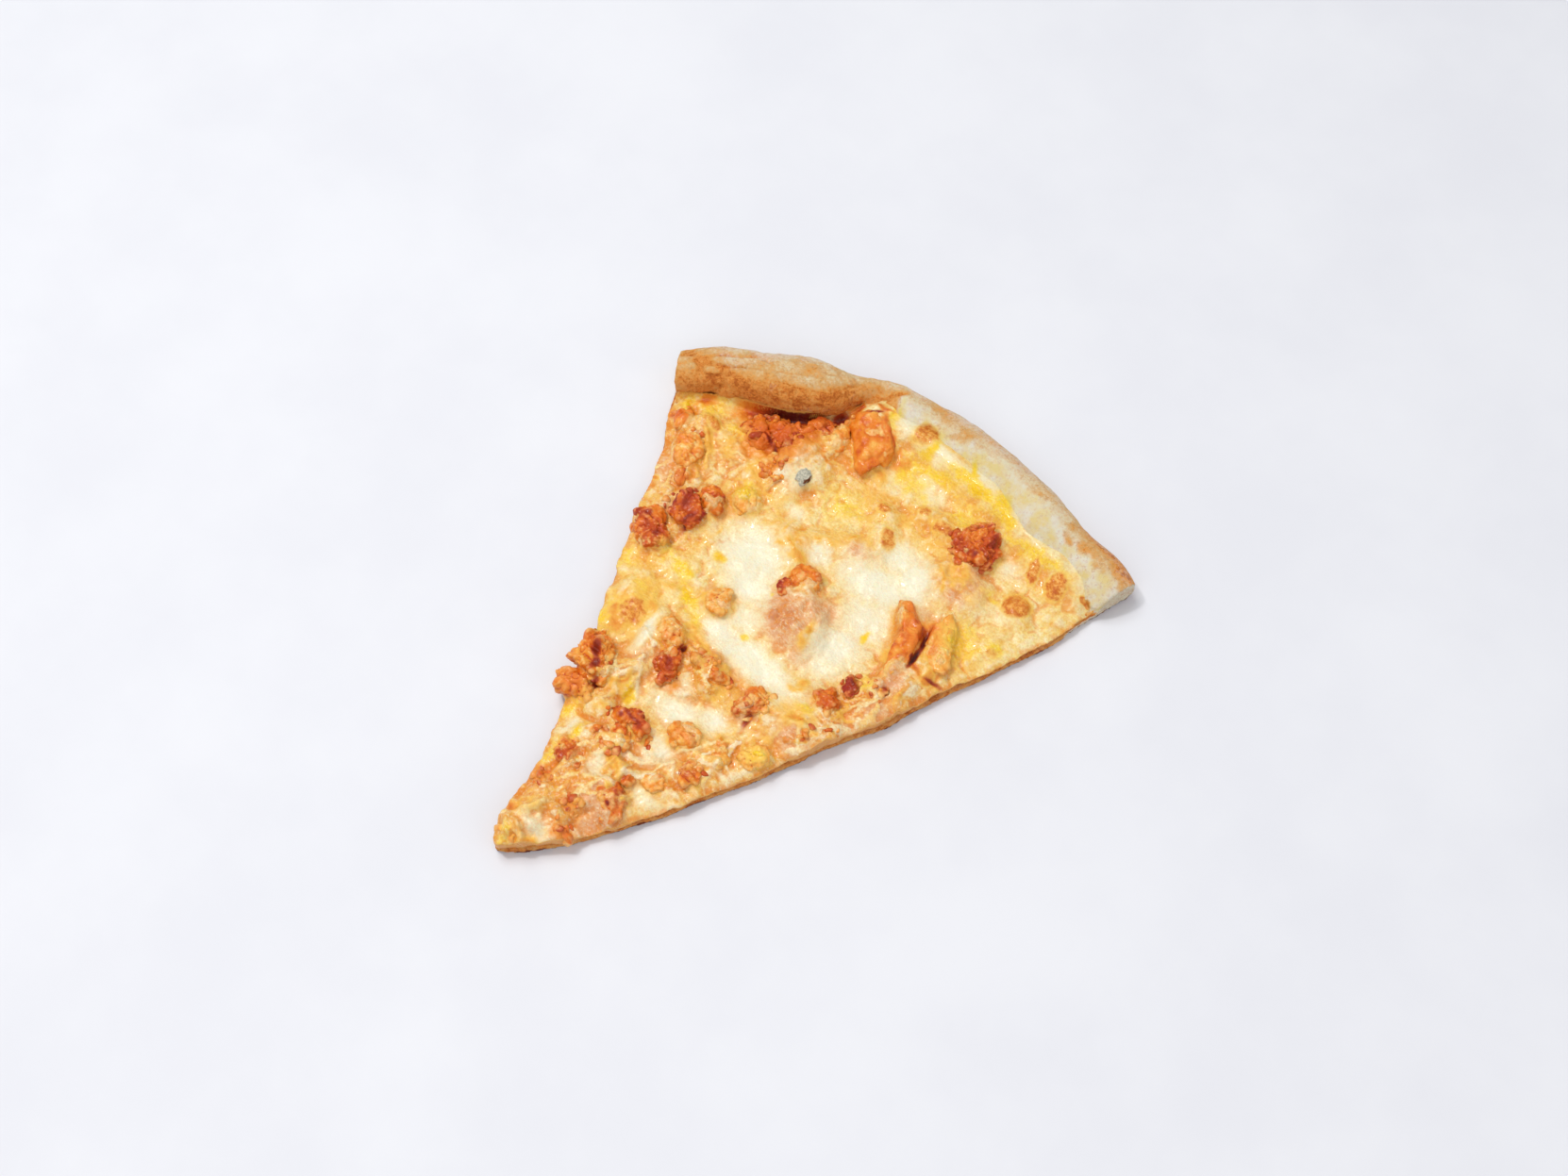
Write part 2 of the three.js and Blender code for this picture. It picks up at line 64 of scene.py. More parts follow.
BASE_TOP = 3.2  # top of the thin dough base
RIM_FOOT = 3.8  # above this the dough belongs to the rim
RIM_SWELL = 1.1  # how far the pale rim swells where the cheese runs out on it
RIM_SINK = 0.25  # how far the cheese's thin edge lies below the rim's surface
FOOT_SINK = 0.8  # how far the foot of a nugget sinks in the cheese
GREY_SINK = 0.5  # the same for the grey crumb, from its middle
ROLL_END = -9  # X where the roll ends and the pale rim begins
PLAN_LOW = (-94.0, -4.0)  # corners of the plan that the maps of heights cover
PLAN_HIGH = (104.0, 230.0)

# ---- Camera: its aim on the plan, its angles in radians, its distance in metres and its lens ----
CAMERA_AIM = (5.0, 132.5)
CAMERA_AZIMUTH = math.radians(42.3)
CAMERA_ELEVATION = math.radians(63.7)
CAMERA_DISTANCE = 0.710
CAMERA_LENS = 47.65

# ---- Light: name, degrees from the camera's azimuth, elevation, distance, size, power, colour ----
LIGHTS = [
    ("window", -140, 66, 2.4, 1.1, 24.8, (0.935, 0.985, 0.97)),
    ("glint", -110, 66, 1.3, 0.1, 4.0, (1.0, 1.0, 1.0)),
    ("fill", -20, 45, 1.6, 1.4, 5.0, (1.0, 0.99, 0.98)),
    ("edge", 50, 30, 1.2, 0.8, 1.6, (1.0, 0.99, 0.97)),
]
SKY_COLOUR = (0.945, 0.96, 1.0, 1.0)
SKY_STRENGTH = 0.49
FLOOR_HALF = 1.6  # metres, as are the lights' distances and sizes
FLOOR_DROP = 0.0002  # how far the floor lies below the slice, in metres

# ---- Lines along the middle of the roll and of the pale rim ----
ROLL_LINE = [
    (-78.5, 169), (-65.4, 178.6), (-53, 185.6), (-41.5, 192), (-32, 198), (-26, 205), (-11, 217),
]
PALE_LINE = [
    (-11, 209), (18, 211), (39, 210), (61, 207), (83, 205), (95, 202),
]

# ---- Patches: x, y, half length, half width, turn in degrees, strength ----
# Smooth pools of plain cheese.
WHITE = [
    (-9, 132, 12, 9, -20, 1.0), (-3, 124, 9, 7, 0, 0.9), (30, 152, 13, 7, 10, 1.0),
    (38, 162, 9, 5, -45, 1.0), (28, 165, 7, 6, 0, 0.8), (18, 103, 19, 5.5, -3, 1.0),
    (2, 105, 9, 5, -20, 0.9), (35, 125, 8, 11, 0, 0.9), (35, 140, 9, 8, 0, 0.8), (5, 113, 7, 5, 0, 0.7),
    (-16, 87, 2.6, 8, 12, 1.0), (15, 72, 11, 5, -10, 0.9), (17, 60, 5, 6, 0, 0.8),
    (22, 44, 6, 4, 35, 0.9), (-17, 164, 4, 5, 0, 0.5), (-22, 162, 3, 3, 0, 0.7), (-3, 207, 5, 7, 0, 0.7),
    (15, 203, 8, 3.5, 0, 0.6), (30, 207, 5, 5, 0, 0.6), (36, 205, 2.6, 5, 0, 0.5),
    (56, 206, 11, 5, -5, 0.7), (82, 202, 7, 4.5, -10, 0.7), (19, 192, 7, 3.5, -20, 0.6),
    (8, 186, 6, 4, 0, 0.5), (-17, 185, 2, 8, 55, 0.6), (7, 148, 4, 4, 0, 0.8), (-9, 154, 4, 4, 0, 0.5),
    (58, 187, 6, 4, 0, 0.5), (66, 171, 6, 5, 0, 0.3), (6, 41, 2.5, 4, 30, 0.7), (-11, 46, 2, 3, 0, 0.6),
    (8, 13, 4, 3.5, 0, 0.7), (-2, 66, 1.6, 5, 20, 0.7), (5, 83, 5, 3, 0, 0.6), (23, 78, 6, 5, 0, 0.8),
    (35, 66, 5, 1.5, 10, 0.6),
]
# Yellow oil.
OIL = [
    (-23, 112, 4, 2.2, 0, 1.0), (-15, 106, 6, 2.2, -25, 0.9), (-7, 101, 4, 1.5, -30, 0.6),
    (-29, 83, 4.5, 4, -30, 0.9), (-4, 67, 3.4, 1.6, -45, 1.0), (-7, 45, 1.8, 3, 0, 0.8),
    (-16, 48, 1.6, 5, -20, 0.9), (-9, 36, 1.8, 5, 10, 0.7), (1, 5, 3, 5, 20, 0.5),
    (43, 202, 3.5, 4.5, 20, 0.8), (32, 201.5, 10, 1.9, 0, 0.9), (27, 206, 1.4, 3.5, 20, 0.8),
    (47, 199, 5, 2, -30, 0.8), (17, 197, 9, 1.8, 5, 0.7), (11, 203, 1.6, 5, 0, 0.8),
    (62, 196, 12, 1.6, 3, 0.6), (1, 168, 7, 5, 0, 0.5), (-17.5, 124, 2.1, 1.5, 0, 0.9),
    (39, 136, 1.1, 1.9, 0, 1.0), (9.5, 108.5, 1.2, 0.9, 0, 0.8), (5.5, 125.5, 1.2, 0.9, 0, 0.5),
    (-44, 164, 6, 2.5, 10, 0.5), (-60, 166, 6, 4, 30, 0.5), (-27, 148, 4, 3.5, 0, 0.8),
    (-68, 161, 2.4, 3, 0, 0.8), (64, 154, 6, 6, 0, 0.7), (8, 192, 4, 6, 0, 0.6), (42, 101, 4, 2, 15, 0.5),
    (42, 78, 4, 2.5, 20, 0.8), (-8, 205, 2, 6, 10, 0.6), (-32, 113, 3, 4, 0, 0.5),
    (-28, 97, 6, 3, 0, 0.4), (5, 90, 3, 2, 0, 0.4), (15, 190, 10, 5, -10, 0.35), (35, 192, 6, 5, 0, 0.5),
    (52, 122, 3, 2.5, 0, 0.5), (-15, 55, 3, 5, 0, 0.5), (61, 175, 5, 2, 0, 0.4),
    (74, 161, 3.5, 2.5, 0, 0.6), (-41, 104, 4, 4, 0, 0.4),
]
# Bubbles that browned.
BLISTERS = [
    (70, 177.5, 4.6, 4.2, 20, 1.0), (75.5, 191.5, 3.4, 4.2, 0, 1.0), (66, 191, 1.9, 4.4, 25, 0.9),
    (86, 195, 2.2, 1.2, 0, 0.8), (5.5, 206, 4.4, 4.6, 10, 0.7), (74.5, 159, 2.5, 1.8, 0, 0.4),
    (21, 167.5, 2.6, 4.6, 42, 0.6), (12.5, 175.5, 2.4, 1.8, 0, 0.9), (33, 183, 4.5, 2.6, 12, 0.7),
    (24, 184, 2.6, 2, 0, 0.6), (-24, 89, 5, 5.4, 20, 0.7), (-54, 161, 4, 1.9, -25, 0.7),
]
# Toasted crests of the cheese.
TOAST = [
    (28, 183.5, 8, 2.6, 12, 0.4), (13, 160, 6, 1.5, 30, 0.6), (6, 154, 5, 1.6, 35, 0.7),
    (2.5, 150, 2, 1.6, 0, 0.8), (1, 143.5, 4.4, 1.5, -40, 0.85), (-5, 142, 3, 2.2, 0, 0.45),
    (-8, 148, 1.2, 4, 0, 0.5), (46, 166, 6.5, 1.4, -50, 0.75), (57, 170, 3, 5, 0, 0.35),
    (-25, 88, 5, 8, 15, 1.0), (-28, 101, 4, 2.4, 0, 0.5), (-21, 104, 5, 2.4, -20, 0.5),
    (-36, 106, 4, 2, -20, 0.4), (-54, 161, 4.4, 2.2, -25, 0.75), (-51, 153, 7, 2.6, -55, 0.7),
    (-43, 157.5, 3.4, 2.4, 0, 0.75), (-30, 158, 5, 4, 0, 0.6), (-20, 153, 4, 1.5, -20, 0.5),
    (-26, 129, 1.4, 6, 5, 0.5), (-10, 113, 1.4, 4, 0, 0.6), (-2, 96.5, 9, 1.4, -12, 0.7),
    (13, 93, 7, 1.6, -10, 0.55), (17, 86, 2.5, 5, 0, 0.5), (29, 96, 3.4, 2.2, 0, 0.8),
    (35, 106.5, 3.4, 1.4, 30, 0.75), (44, 97, 6, 4, 0, 0.8), (52.5, 108, 4, 1, 20, 0.8),
    (31, 74, 5, 1.2, -55, 0.7), (-9, 69, 1.6, 5, 0, 0.75), (-9, 58, 2.4, 2.6, 0, 0.8),
    (33, 60, 3, 3.5, 0, 0.5), (65, 137, 3.4, 2, 15, 0.8), (67, 146, 1.6, 5, 0, 0.55),
    (25, 121, 1.3, 4, 10, 0.7), (65, 123.5, 1.2, 1.6, 0, 0.9), (9, 58, 4.6, 1.6, 0, 0.7),
    (9, 47, 7, 1.4, -20, 0.7), (17, 39.5, 5.5, 1.3, 0, 0.7), (0, 17.5, 3, 1.4, 0, 0.6),
    (-4, 13, 3, 2.2, -50, 0.7), (7, 9, 2, 3, -50, 0.7), (-57, 133, 1.5, 1, 0, 0.8),
    (22, 178, 9, 1.6, 25, 0.4), (34, 176, 4, 3, 0, 0.35), (48, 171, 6, 5, 0, 0.7), (3, 184, 3, 4, 0, 0.5),
    (60, 145, 2, 6, -10, 0.5), (51, 135, 2.4, 6, 15, 0.8), (58, 152, 2.4, 5, -60, 0.9),
    (62, 143, 5, 2, 30, 0.6), (-3, 183, 8, 1.4, -30, 0.6), (-15, 157, 6, 1.4, 35, 0.4),
    (40, 88, 2.4, 5, 10, 0.4),
]
# Broad golden stretches round them.
GOLD = [
    (-27, 90, 8, 14, 12, 0.75), (-33, 106, 10, 5, -20, 0.6), (-60, 150, 6, 20, 30, 0.75),
    (-51, 134, 6, 8, 20, 0.6), (-26, 150, 8, 12, 0, 0.75), (-2, 148, 14, 6, -10, 0.65),
    (12, 158, 12, 4, 35, 0.7), (33, 183, 20, 8, 10, 0.8), (8, 178, 12, 12, 0, 0.6),
    (45, 172, 9, 10, 0, 0.7), (64, 148, 9, 14, -10, 0.6), (70, 191, 12, 6, 0, 0.5),
    (8, 92, 22, 8, 0, 0.9), (48, 95, 20, 12, 65, 0.9), (33, 68, 8, 9, 0, 0.7), (4, 30, 14, 26, -8, 0.9),
    (10, 55, 15, 8, -20, 0.8), (-16, 62, 8, 14, 0, 0.8), (-40, 166, 12, 8, 20, 0.6),
    (-66, 160, 6, 6, 0, 0.9), (-30, 120, 6, 10, 0, 0.4), (58, 118, 6, 12, -20, 0.85),
    (20, 127, 12, 12, 0, 0.4), (18, 195, 24, 6, 0, 0.6), (-28, 172, 10, 8, 0, 0.6),
    (-10, 185, 12, 8, 0, 0.6), (-46, 122, 6, 14, 20, 0.6), (-4, 208, 5, 9, 0, 0.4),
    (15, 209, 6, 3, 0, 0.5),
]
# Cheese over chicken, which shows through it.
PINK = [
    (15, 121, 9, 6, -20, 1.1), (23, 130, 7, 6, 0, 0.7), (27, 116, 6, 4, 0, 0.6), (13, 115, 8, 3, 0, 0.5),
    (57, 128, 4, 5, 0, 0.8), (60, 116, 3.5, 5, 0, 0.5), (47, 92, 7, 6, 0, 0.7), (58, 103, 3, 5, -20, 0.6),
    (15, 33, 7, 5, 0, 0.8), (19, 27, 4, 6, -30, 0.7), (5, 52, 6, 4, 0, 0.3), (-56, 137, 3, 6, 20, 0.5),
    (-53, 156, 4, 3, 0, 0.5), (-10, 78, 3, 6, 0, 0.4), (-22, 172, 4, 5, 0, 0.4), (17, 157, 4, 3, 0, 0.6),
    (30, 88, 3, 4, 0, 0.6), (51, 171, 6, 6, 0, 1.0), (7, 22, 6, 5, 0, 0.25), (-37, 160, 3, 3, 0, 0.4),
    (10, 77, 6, 2, 0, 0.3), (-43, 126, 4, 4, 0, 0.3), (48, 155, 3, 5, 40, 0.4),
]
# Orange sauce on cheese and chicken.
SAUCE = [
    (2.8, 6.4, 4.5, 0.4, 130, 0.5), (-4.6, 12.6, 2.4, 1.6, 0, 0.7), (-46, 175, 8, 5, 28, 1.0),
    (-35, 181, 11, 5, 33, 1.1), (-33, 171, 11, 8, 20, 1.0), (-27, 161, 3.4, 4, 0, 0.7),
    (-37, 161, 3, 3, 0, 0.6), (-66, 155.5, 3.6, 2.4, 0, 0.9), (-63.5, 167, 1.8, 4, -20, 0.9),
    (-20.5, 199, 1.7, 5, 10, 1.0), (-2, 196.5, 5.5, 1.5, -30, 1.0), (-9, 201, 5, 1.3, -45, 0.8),
    (-25, 179, 4, 4, 0, 0.8), (-13, 205, 5, 1, 20, 0.8), (-47.5, 138, 1.4, 3.6, 0, 0.8),
    (53.5, 147, 1.7, 6, 20, 1.0), (59, 136, 4, 1.3, -10, 0.9), (-5, 28, 3.6, 3, 0, 0.8),
    (10, 26, 4, 2.4, 0, 0.6), (13.5, 18, 3.6, 2.6, 30, 0.7), (8, 6, 2, 2.6, -45, 0.7),
    (3, 54, 0.9, 2.4, 0, 1.0), (-1, 50, 3, 1.1, 0, 0.9), (-19, 56, 6, 4, 0, 0.6),
    (55, 150, 1.6, 5, 15, 0.9), (48.5, 144, 2.2, 2.6, 0, 0.8), (46, 152, 4, 1.4, -30, 0.6),
    (-6, 196, 9, 0.5, -40, 0.6), (-14, 184, 5, 0.5, -38, 0.5), (-3, 180, 5, 0.5, -5, 0.5),
    (5, 192, 2, 4, -35, 0.6), (4, 78, 3, 1.4, 40, 0.5), (-15, 177, 6, 1, -10, 0.5),
]
# Gaps, where the dark colour is painted shade, and burnt spots.
GAP_SHADE_AND_BURNT = [
    (57.4, 139, 0.9, 4.4, 8, 1.0), (56, 146, 0.9, 4.6, 18, 0.9), (48.3, 119, 1.4, 2.4, 30, 0.9),
    (18.8, 33.6, 1.0, 0.8, -20, 1.0), (-29.5, 166, 3.8, 0.8, -48, 0.9), (-35, 168.5, 2.6, 0.8, -20, 0.9),
    (-37, 181, 12, 2.6, 36, 1.0), (-23, 193, 2, 3.4, -20, 0.8), (-14, 200.5, 3.4, 0.7, 50, 0.7),
    (-21, 69, 3.4, 1.6, -45, 0.9), (-18.5, 65.5, 1.8, 2.4, 0, 0.9), (-14, 61, 1.2, 2, 0, 0.7),
    (50, 189, 1.4, 3, 20, 0.8), (48, 180.5, 1.6, 1.4, 0, 0.8), (-38, 130, 2, 3, 30, 0.7),
    (-33, 126, 1.2, 3, 0, 0.8), (-45, 118, 2, 1.6, 0, 0.7), (-37, 115, 1.4, 1.8, 0, 0.8),
    (-2.5, 89, 0.8, 3.4, -10, 0.8), (-2, 83, 2.6, 1.2, -20, 0.7), (0, 58.4, 1.2, 1.4, 0, 0.8),
    (4, 60.4, 5, 0.7, -5, 0.7), (31, 86, 1.2, 3, 10, 0.6), (58, 123.5, 1.4, 1.4, 0, 0.7),
    (10, 24, 1.2, 0.8, 0, 0.6), (67, 137, 3, 0.7, 25, 0.6),
]
# Browning of the crust: golden patches on the pale rim, and darker ones on the roll.
BAKED = [
    (3, 216, 7, 3, -15, 0.6), (15, 213, 3, 4, 0, 0.7), (51, 213, 4, 2, 0, 0.6), (67, 211, 3, 1.6, 0, 0.7),
    (78, 213, 10, 3, -10, 0.8), (89, 210, 6, 4.5, -20, 0.8), (69.5, 205.5, 2.6, 2.4, 0, 1.0),
    (74, 207.5, 5, 3, 0, 0.9), (27, 220, 14, 1.6, 0, 0.4), (66, 200, 4, 1.6, -20, 0.6),
    (40, 219, 12, 1.6, 0, 0.35), (80, 205, 6, 3.5, 0, 0.5), (1, 211, 6, 6, 0, 0.35),
    (-42, 184, 12, 5, 30, 0.22), (-30, 190, 4, 8, 30, 0.25), (-55, 177, 8, 3, 30, 0.3),
    (-20, 209, 6, 2, 45, 0.3),
]
# Floury dough that stayed pale.
PALE_DOUGH = [
    (-58, 193, 14, 5, 35, 0.5), (-40, 203, 10, 3, 30, 0.5), (-35, 201, 3, 2.4, 0, 0.6),
    (-62, 185, 7, 4, 35, 0.3), (-16, 214, 4, 2, 40, 0.5), (35, 214, 8, 4, 0, 0.4),
    (58, 210, 8, 4, 0, 0.4), (0, 210, 5, 5, 0, 0.4),
]
# Cracks in the crust: from, to, width and depth.
CRACKS = [
    ((-71, 163), (-61.5, 171), 0.9, 1.0), ((-43.5, 198.5), (-39.5, 201), 0.5, 0.5),
    ((-41.5, 206.5), (-39, 207.5), 0.6, 0.5), ((-80, 170), (-72, 178), 0.8, 0.35),
    ((-77, 168), (-66, 178), 0.7, 0.3), ((-75, 166), (-64, 175), 0.6, 0.25),
    ((-38, 187), (-30, 192), 0.6, 0.3), ((-36, 184.5), (-29, 189), 0.5, 0.25),
    ((-28, 196), (-24, 205), 0.9, 0.5), ((-20, 216), (-17.5, 217.5), 0.7, 0.6),
    ((-16, 206.5), (-10.5, 214.5), 0.7, 0.8), ((-67, 187), (-58, 194), 0.6, 0.25),
    ((-32, 210.5), (-24, 213), 0.8, 0.4),
]

# ---- Chicken: how dark, how crumbly and how coated in cheese each nugget is, from 0 to 1 ----
STYLES = {
    "strip_at_rim": (0.45, 0.0, 0.0), "nugget_at_rim": (0.66, 1.0, 0.05), "beside_strip": (0.4, 0.4, 0.5),
    "crumble_under_roll": (0.62, 0.9, 0.1), "crumble_beside_roll": (0.6, 0.8, 0.3),
    "crumble_by_fold": (0.75, 0.9, 0.1), "left_cap": (0.62, 0.6, 0.3), "left_wedge": (0.74, 0.7, 0.15),
    "left_nugget": (0.58, 0.9, 0.25), "left_crag_upper": (0.28, 1.0, 0.15),
    "left_crag_lower": (0.4, 0.9, 0.2), "corner_bit": (0.35, 0.3, 0.5),
    "ridge_upper_left": (0.35, 0.4, 0.5), "ridge_lower_left": (0.38, 0.4, 0.5),
    "golden_bead": (0.25, 0.4, 0.7), "centre_cap": (0.5, 0.4, 0.5), "centre_bead": (0.72, 0.6, 0.2),
    "curl": (0.4, 0.1, 0.35), "flank": (0.3, 0.2, 0.4), "brown_bead": (0.4, 0.5, 0.6),
    "dark_bead": (0.9, 0.6, 0.1), "amber_bead": (0.55, 0.6, 0.2), "middle_nugget": (0.3, 0.5, 0.75),
    "lower_nugget": (0.45, 0.8, 0.4), "pink_shard": (0.4, 0.6, 0.5), "red_shard": (0.75, 0.8, 0.2),
    "brown_shard": (0.45, 0.5, 0.5), "purple_bead": (0.5, 0.5, 0.6), "gold_nugget": (0.2, 0.6, 0.5),
    "low_ridge": (0.3, 0.5, 0.5), "low_star": (0.35, 0.6, 0.55), "low_amber": (0.5, 0.9, 0.25),
    "low_crumb": (0.25, 0.7, 0.6), "roof_shard": (0.65, 0.8, 0.2), "roof_bead": (0.35, 0.5, 0.6),
    "tip_lobe": (0.5, 0.4, 0.35), "tip_amber": (0.55, 0.7, 0.3), "tip_orange": (0.6, 0.8, 0.2),
    "tip_bead": (0.4, 0.6, 0.5), "tip_flake": (0.4, 0.6, 0.4), "tip_right": (0.5, 0.7, 0.3),
    "tip_curl": (0.25, 0.4, 0.5),
}

# ---- Relief ----
# Zones where shredded chicken makes the cheese lumpy, as patches.
LUMPY = [
    (4, 28, 20, 32, 0, 1.0), (32, 62, 10, 22, -30, 0.75), (54, 110, 12, 32, -22, 0.9),
    (4, 88, 18, 13, 0, 0.75), (-12, 66, 9, 14, 0, 0.8), (-54, 146, 10, 26, 35, 0.75),
    (-32, 166, 18, 14, 20, 0.8), (-10, 186, 18, 12, 20, 0.5), (50, 170, 12, 10, 0, 0.7),
    (20, 124, 11, 11, 0, 1.0), (12, 155, 14, 8, 30, 0.3), (60, 146, 8, 12, 0, 0.5),
    (-36, 126, 10, 16, 20, 0.5), (30, 184, 14, 5, 8, 0.3),
]
# Folded strands at the very tip: x, y, length, direction in degrees, radius, tone.
TIP_FOLDS = [
    (0.9, 5.0, 10, 113, 1.8, 0.5), (4.6, 7.4, 9, 150, 1.7, 0.5), (-4.6, 9.6, 5, 100, 1.0, 0.0),
    (-1.0, 12.0, 7, 40, 1.3, 0.4), (10.4, 10.6, 9, 50, 1.3, 0.05), (7.4, 13.4, 8, 20, 1.5, 0.0),
    (15.2, 13.8, 6, -20, 1.0, 0.0), (1.5, 17.0, 7, 60, 1.4, 0.4),
]
# Strands in the lumpy zones: x, y, half length, half width and turn of the zone, how many there are,
# their own direction and how far it spreads, in degrees.
STRAND_ZONES = [
    (3, 22, 17, 9, 85, 34, 75, 40), (8, 45, 17, 10, 10, 28, 40, 50), (28, 64, 12, 8, 60, 16, 60, 50),
    (54, 100, 26, 8, 68, 32, 70, 50), (2, 88, 17, 11, 0, 16, 30, 60), (-10, 66, 12, 7, 100, 14, 90, 50),
    (-54, 146, 26, 8, 125, 14, 120, 40), (-32, 164, 13, 10, 20, 12, 60, 60),
    (-10, 188, 16, 8, 30, 8, 60, 40),
]
# Cheese lying over the chicken, as patches.
DRAPED = [
    (43.5, 146, 2, 8, 20, 0.9), (50, 128, 3.5, 5, 0, 0.8), (-35, 129, 2, 2.4, 0, 0.6),
    (22, 32, 4, 6, 0, 0.5), (34, 91, 2.5, 4, 0, 0.6), (-9, 92, 5, 3, 0, 0.5), (64, 150, 3, 8, 0, 0.5),
]
# Loose crumbs of chicken: x, y, half length, half width and turn of the zone, how many, tone.
CRUMB_ZONES = [
    (-37, 173, 12, 7, 20, 110, 0.7), (-27, 161, 5, 6, 0, 20, 0.5), (-39, 129, 8, 9, 0, 14, 0.8),
    (-42, 115, 8, 6, 0, 26, 0.65), (-22, 66, 8, 10, 0, 36, 0.62), (45, 184, 9, 8, 0, 30, 0.66),
    (-2, 83, 5, 5, 0, 16, 0.75), (9, 92, 11, 3, 0, 14, 0.5), (4, 58, 10, 4, 0, 18, 0.6),
    (3, 50, 6, 4, 0, 10, 0.65), (-4, 38, 4, 5, 0, 10, 0.6), (-4, 27, 4, 4, 0, 8, 0.6),
    (10, 26, 4, 3, 0, 8, 0.55), (13, 18, 4, 3, 0, 8, 0.6), (31, 60, 4, 4, 0, 10, 0.5),
    (30, 92, 4, 6, 0, 10, 0.55), (52, 97, 10, 4, 65, 12, 0.5), (46, 109, 5, 3, 0, 10, 0.65),
    (48, 119, 4, 4, 0, 10, 0.85), (57, 122, 5, 3, 0, 8, 0.55), (9, 131, 3, 4, 0, 10, 0.8),
    (-54, 150, 13, 3, 120, 10, 0.45), (-66, 158, 3, 4, 0, 8, 0.5), (-20, 190, 2, 8, 0, 8, 0.6),
]
# The one grey crumb's place and half sizes.
GREY_CRUMB = (-15.5, 165.5)
GREY_CRUMB_HALF = (2.4, 3.8, 1.3)


# ---- Places ----
def mesh_points(mesh):
    flat = np.empty(len(mesh.vertices) * 3)
    mesh.vertices.foreach_get("co", flat)
    return flat.reshape(-1, 3)


def find_tip():
    points = mesh_points(NODES["dough"].data)
    tip = points[np.argmin(points[:, 1])]
    return np.array([tip[0], tip[1], 0.0])


TIP = find_tip()


def to_row(points):
    return points * MM + TIP


def to_slice(points):
    return (points - TIP) / MM


# ---- Seeded noise ----
def lattice(i, j, k, seed):
    h = i * 374761393 + j * 668265263 + k * 1103515245 + seed * 362437
    h = h & 0xFFFFFFFF
    h = ((h ^ (h >> 13)) * 1274126177) & 0xFFFFFFFF
    return ((h ^ (h >> 16)) & 0xFFFFFF) / 0x7FFFFF - 1.0


def noise(points, scale, seed=0):
    """Smooth noise from -1 to 1 with features about scale millimetres across."""
    p = points / scale
    cell = np.floor(p).astype(np.int64)
    part = p - cell
    ease = part**3 * (part * (part * 6 - 15) + 10)
    total = np.zeros(len(p))
    for corner in range(8):
        step = np.array([corner & 1, corner >> 1 & 1, corner >> 2])
        weight = np.prod(np.where(step == 1, ease, 1 - ease), axis=1)
        total += weight * lattice(*(cell + step).T, seed)
    return total


def fbm(points, scale, octaves, seed=0):
    shares = [0.5**n for n in range(octaves)]
    layers = [share * noise(points, scale * share, seed + n) for n, share in enumerate(shares)]
    return sum(layers) / sum(shares)


def billow(points, scale, octaves, seed=0):
    """Rounded lumps parted by creases, from 0 to about 1."""
    shares = [0.5**n for n in range(octaves)]
    layers = [share * np.abs(noise(points, scale * share, seed + n)) for n, share in enumerate(shares)]
    return 2.0 * sum(layers) / sum(shares)


def cells(x, y, size, seed):
    """Distance to the nearest of scattered points, in cells, and that point's value."""
    x, y = x / size, y / size
    left, low = np.floor(x).astype(np.int64), np.floor(y).astype(np.int64)
    nearest = np.full(x.shape, 9.0)
    value = np.zeros(x.shape)
    for i in (-1, 0, 1):
        for j in (-1, 0, 1):
            cx, cy = left + i, low + j
            px = cx + 0.5 + 0.42 * lattice(cx, cy, 0, seed)
            py = cy + 0.5 + 0.42 * lattice(cx, cy, 1, seed)
            away = np.hypot(x - px, y - py)
            value = np.where(away < nearest, lattice(cx, cy, 2, seed), value)
            nearest = np.minimum(nearest, away)
    return nearest, value


def crumbs(points, size, seed):
    """Distance to the nearest of points scattered in space, in cells."""
    p = points / size
    low = np.floor(p).astype(np.int64)
    nearest = np.full(len(p), 9.0)
    for corner in np.ndindex(3, 3, 3):
        cell = low + np.array(corner) - 1
        spot = cell + 0.5 + 0.42 * np.column_stack([lattice(*cell.T, seed + n) for n in range(3)])
        nearest = np.minimum(nearest, np.linalg.norm(p - spot, axis=1))
    return nearest


def smooth(value, low, high):
    t = np.clip((value - low) / (high - low), 0, 1)
    return t * t * (3 - 2 * t)


# ---- Soft patches and strokes in the plan ----
def on_plan(x, y):
    """Points of the plan as points in space, for noise."""
    return np.column_stack([x, y, np.zeros(len(x))])


def warped(x, y, amount, size, seed):
    """Points of the plan pushed about by noise, which makes what is read there uneven."""
    flat = on_plan(x, y)
    return x + amount * fbm(flat, size, 2, seed), y + amount * fbm(flat, size, 2, seed + 7)


def in_ellipse(x, y, cx, cy, length, width, turn):
    """Places seen from an ellipse's middle, along and across it, as shares of its half sizes."""
    c, s = math.cos(math.radians(turn)), math.sin(math.radians(turn))
    return ((x - cx) * c + (y - cy) * s) / length, ((y - cy) * c - (x - cx) * s) / width


def patches(x, y, table, edge=1.0):
    """How strongly points lie in a table's soft ellipses, whose edges are firmer the larger edge is."""
    total = np.zeros(len(x))
    for *ellipse, strength in table:
        along, across = in_ellipse(x, y, *ellipse)
        total = np.maximum(total, strength * np.exp(-0.8 * (along**2 + across**2) ** edge))
    return total


def from_segment(x, y, start, end):
    """Distance from a segment, and where along it the nearest point is, from 0 to 1."""
    ax, ay = start
    dx, dy = end[0] - ax, end[1] - ay
    t = np.clip(((x - ax) * dx + (y - ay) * dy) / (dx * dx + dy * dy), 0, 1)
    return np.hypot(x - ax - t * dx, y - ay - t * dy), t


def stroke(x, y, start, end, width):
    return np.exp(-((from_segment(x, y, start, end)[0] / width) ** 2))


